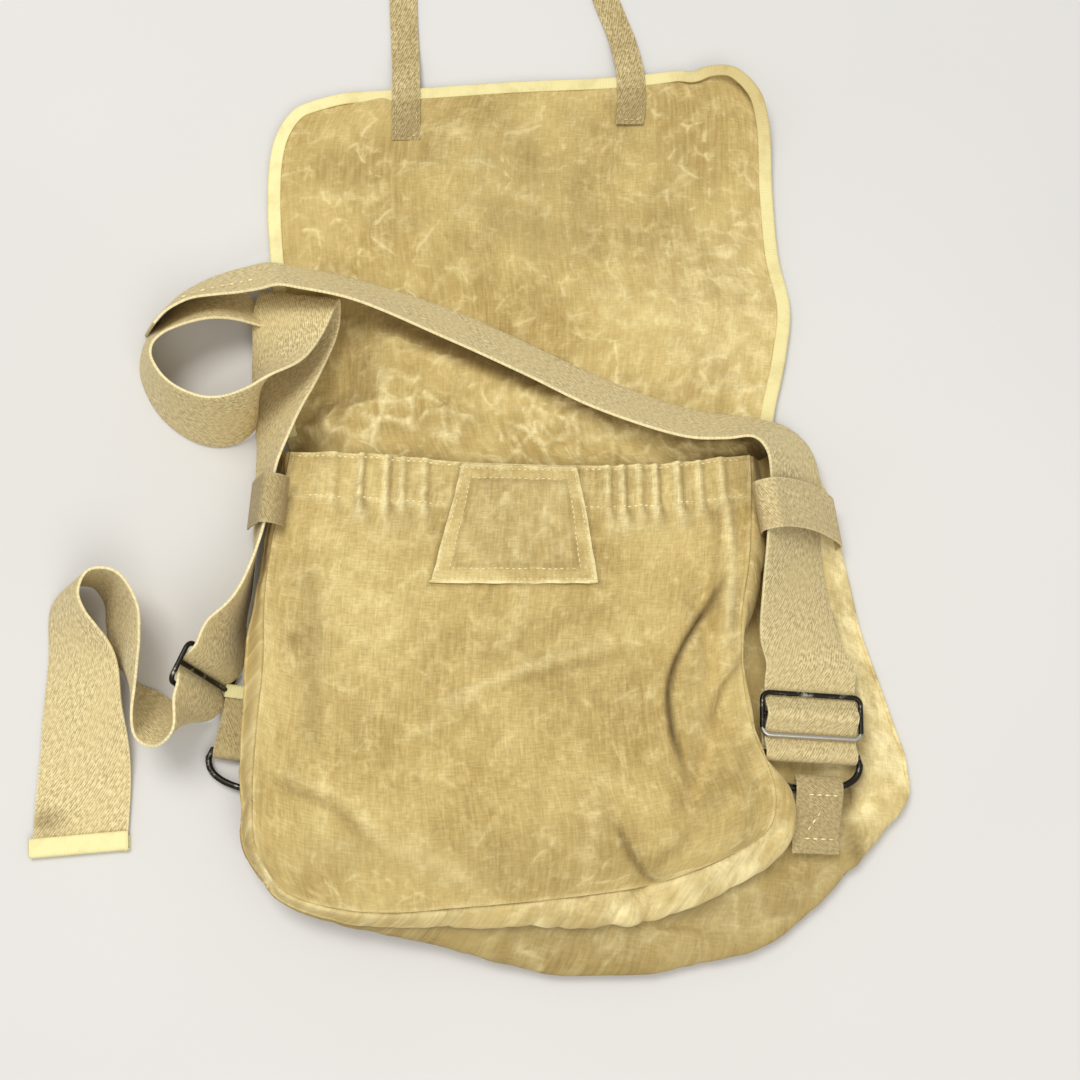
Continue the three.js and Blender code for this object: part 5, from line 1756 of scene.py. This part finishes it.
class BAG_OT_fittings(bpy.types.Operator):
    """Bend the slide buckles and the rings from wire"""

    bl_idname = "bag.fittings"
    bl_label = "Buckles and rings"

    def execute(self, context):
        """Make the fittings."""
        steel = once("blackened_steel_wire", blackened_steel, context.scene.bag_look)

        def low_bar(point):
            """The right slide's low bar, rubbed by the strap."""
            return eased(-(point - RIGHT_SEAT.middle).dot(RIGHT_SEAT.along), BAR_PITCH - 4, BAR_PITCH - 2)

        wire("buckle_right_wire", buckle_paths(RIGHT_SEAT), BUCKLE_WIRE, steel, ["buckle_right"], low_bar)
        wire("buckle_left_wire", buckle_paths(LEFT_SEAT), BUCKLE_WIRE, steel, ["buckle_left"])
        wire("ring_right_wire", ring_path(RIGHT_SEAT, RIGHT_RING_AT), RING_WIRE, steel, ["ring_right"])
        wire("ring_left_wire", ring_path(LEFT_RING_SEAT, (0, 0)), RING_WIRE, steel, ["ring_left"])
        return {"FINISHED"}


# Stitching

def front_row(u1, v1, u2, v2, ripple, count=160):
    """A sewn row on the front panel between two places."""
    row = []
    for k in range(count + 1):
        share = k / count
        point = front_surface(mixed(u1, u2, share), mixed(v1, v2, share), ripple)
        row.append((point + UP * (CANVAS / 2), UP))
    return row


def patch_row(a1, b1, a2, b2, count=60):
    """A sewn row on the patch between two places."""
    row = []
    for k in range(count + 1):
        point = patch_surface(mixed(a1, a2, k / count), mixed(b1, b2, k / count))
        row.append((point + UP * (PATCH_WALL / 2), UP))
    return row


def strap_row(strap, share1, across1, share2, across2, side=1, count=40):
    """A sewn row on a strap's face between two places."""
    row = []
    for k in range(count + 1):
        share = mixed(share1, share2, k / count)
        _, _, face = strap.section(share)
        height = side * strap.wall / 2
        row.append((strap.at(share, mixed(across1, across2, k / count), height), face * side))
    return row


def box_rows(strap, near, far, margin, side):
    """A sewn box between two distances along a strap."""
    half = strap.width / 2 - margin
    low, high = near / strap.length, far / strap.length
    return [
        strap_row(strap, low, -half, low, half, side), strap_row(strap, high, -half, high, half, side),
        strap_row(strap, low, -half, high, -half, side), strap_row(strap, low, half, high, half, side)]


class BAG_OT_stitching(bpy.types.Operator):
    """Sew the hem, the patch, the closing straps, the tab and the strap's join"""

    bl_idname = "bag.stitching"
    bl_label = "Stitching"

    def execute(self, context):
        """Make the stitches."""
        cloth = context.scene.bag_cloth
        look = context.scene.bag_look
        ripple = cloth.ripple / MM
        length, gap, thick = cloth.stitch / MM, cloth.stitch_gap / MM, cloth.thread / MM
        thread = once("cotton_sewing_thread", sewing_thread, look.thread, look.thread_grey)

        rows = []
        for v in HEM_ROWS:
            rows.append(front_row(0.015, v, PATCH.top_left - 0.012, v, ripple))
            rows.append(front_row(PATCH.top_right + 0.016, v, 0.985, v, ripple))
        sewn("hem_stitches", rows, length, gap, thick, thread)

        rows = []
        patch_thread = once("handled_sewing_thread", sewing_thread, look.canvas_rubbed, look.thread_grey)
        for inset in PATCH_ROWS:
            side, end = inset / PATCH_SIZE[0], inset / PATCH_SIZE[1]
            rows += [patch_row(side, end, 1 - side, end), patch_row(side, 1 - end, 1 - side, 1 - end),
                     patch_row(side, end, side, 1 - end), patch_row(1 - side, end, 1 - side, 1 - end)]
        for a, b in ((0.015, 0.02), (0.985, 0.02), (0.015, 0.98), (0.985, 0.98)):
            for k in range(5):
                shift = (k - 2) * 0.009
                rows.append(patch_row(a + shift - 0.018, b - 0.022, a + shift + 0.018, b + 0.022))
        sewn("patch_stitches", rows, length, gap * 0.8, thick * 0.8, patch_thread)

        rows = []
        straps = narrow_straps()
        for strap in (straps["flap_strap_left"], straps["flap_strap_right"]):
            side = 1 if strap.section(0.05)[2].z > 0 else -1
            rows += box_rows(strap, 2.5, CLOSING_SEWN - 2, 2.2, side)
        brown = once("brown_sewing_thread", sewing_thread, look.webbing, look.closing)
        sewn("closing_strap_stitches", rows, length, gap, thick * 0.8, brown)

        tab = straps["ring_tab_right"]
        side = 1 if tab.section(0.9)[2].z > 0 else -1
        half = TAB_WIDTH / 2 - 2.5
        rows = [strap_row(tab, 0.56, -half, 0.56, half, side), strap_row(tab, 0.89, -half, 0.89, half, side),
                strap_row(tab, 0.84, half * 0.5, 0.66, -half * 0.2, side)]
        sewn("ring_tab_stitches", rows, 3.2, 1.2, thick * 1.2, thread)

        right, _ = shoulder_straps()
        side = 1 if right.section(0.95)[2].y > 0 else -1
        share = 1 - 40 / right.length
        rows = [strap_row(right, share - 0.05, 8, share + 0.03, 12, side)]
        sewn("strap_join_stitches", rows, 3.4, 2.2, 1.3, thread)
        return {"FINISHED"}


class BAG_PT_panel(bpy.types.Panel):
    """Buttons for each group of pieces"""

    bl_idname = "BAG_PT_panel"
    bl_label = "Canvas shoulder bag"
    bl_space_type = "VIEW_3D"
    bl_region_type = "UI"
    bl_category = "Bag"

    def draw(self, context):
        """List the operators and the main sizes."""
        for operator in OPERATORS:
            self.layout.operator(operator.bl_idname)
        for group in (context.scene.bag_cloth, context.scene.bag_stage, context.scene.bag_look):
            for name in group.__annotations__:
                self.layout.prop(group, name)


OPERATORS = (
    BAG_OT_stage, BAG_OT_front_panel, BAG_OT_back_and_flap, BAG_OT_gusset, BAG_OT_shoulder_strap,
    BAG_OT_narrow_straps, BAG_OT_fittings, BAG_OT_stitching)
GROUPS = (BagLook, BagCloth, BagStage)


def register():
    """Register the settings, the operators and the panel."""
    for kind in (*GROUPS, *OPERATORS, BAG_PT_panel):
        bpy.utils.register_class(kind)
    bpy.types.Scene.bag_look = PointerProperty(type=BagLook)
    bpy.types.Scene.bag_cloth = PointerProperty(type=BagCloth)
    bpy.types.Scene.bag_stage = PointerProperty(type=BagStage)


def unregister():
    """Take the settings, the operators and the panel away again."""
    for name in ("bag_look", "bag_cloth", "bag_stage"):
        delattr(bpy.types.Scene, name)
    for kind in reversed((*GROUPS, *OPERATORS, BAG_PT_panel)):
        bpy.utils.unregister_class(kind)


def main():
    """Build the bag."""
    register()
    bpy.ops.bag.stage()
    bpy.ops.bag.front_panel()
    bpy.ops.bag.back_and_flap()
    bpy.ops.bag.gusset()
    bpy.ops.bag.shoulder_strap()
    bpy.ops.bag.narrow_straps()
    bpy.ops.bag.fittings()
    bpy.ops.bag.stitching()


if __name__ == "__main__":
    main()
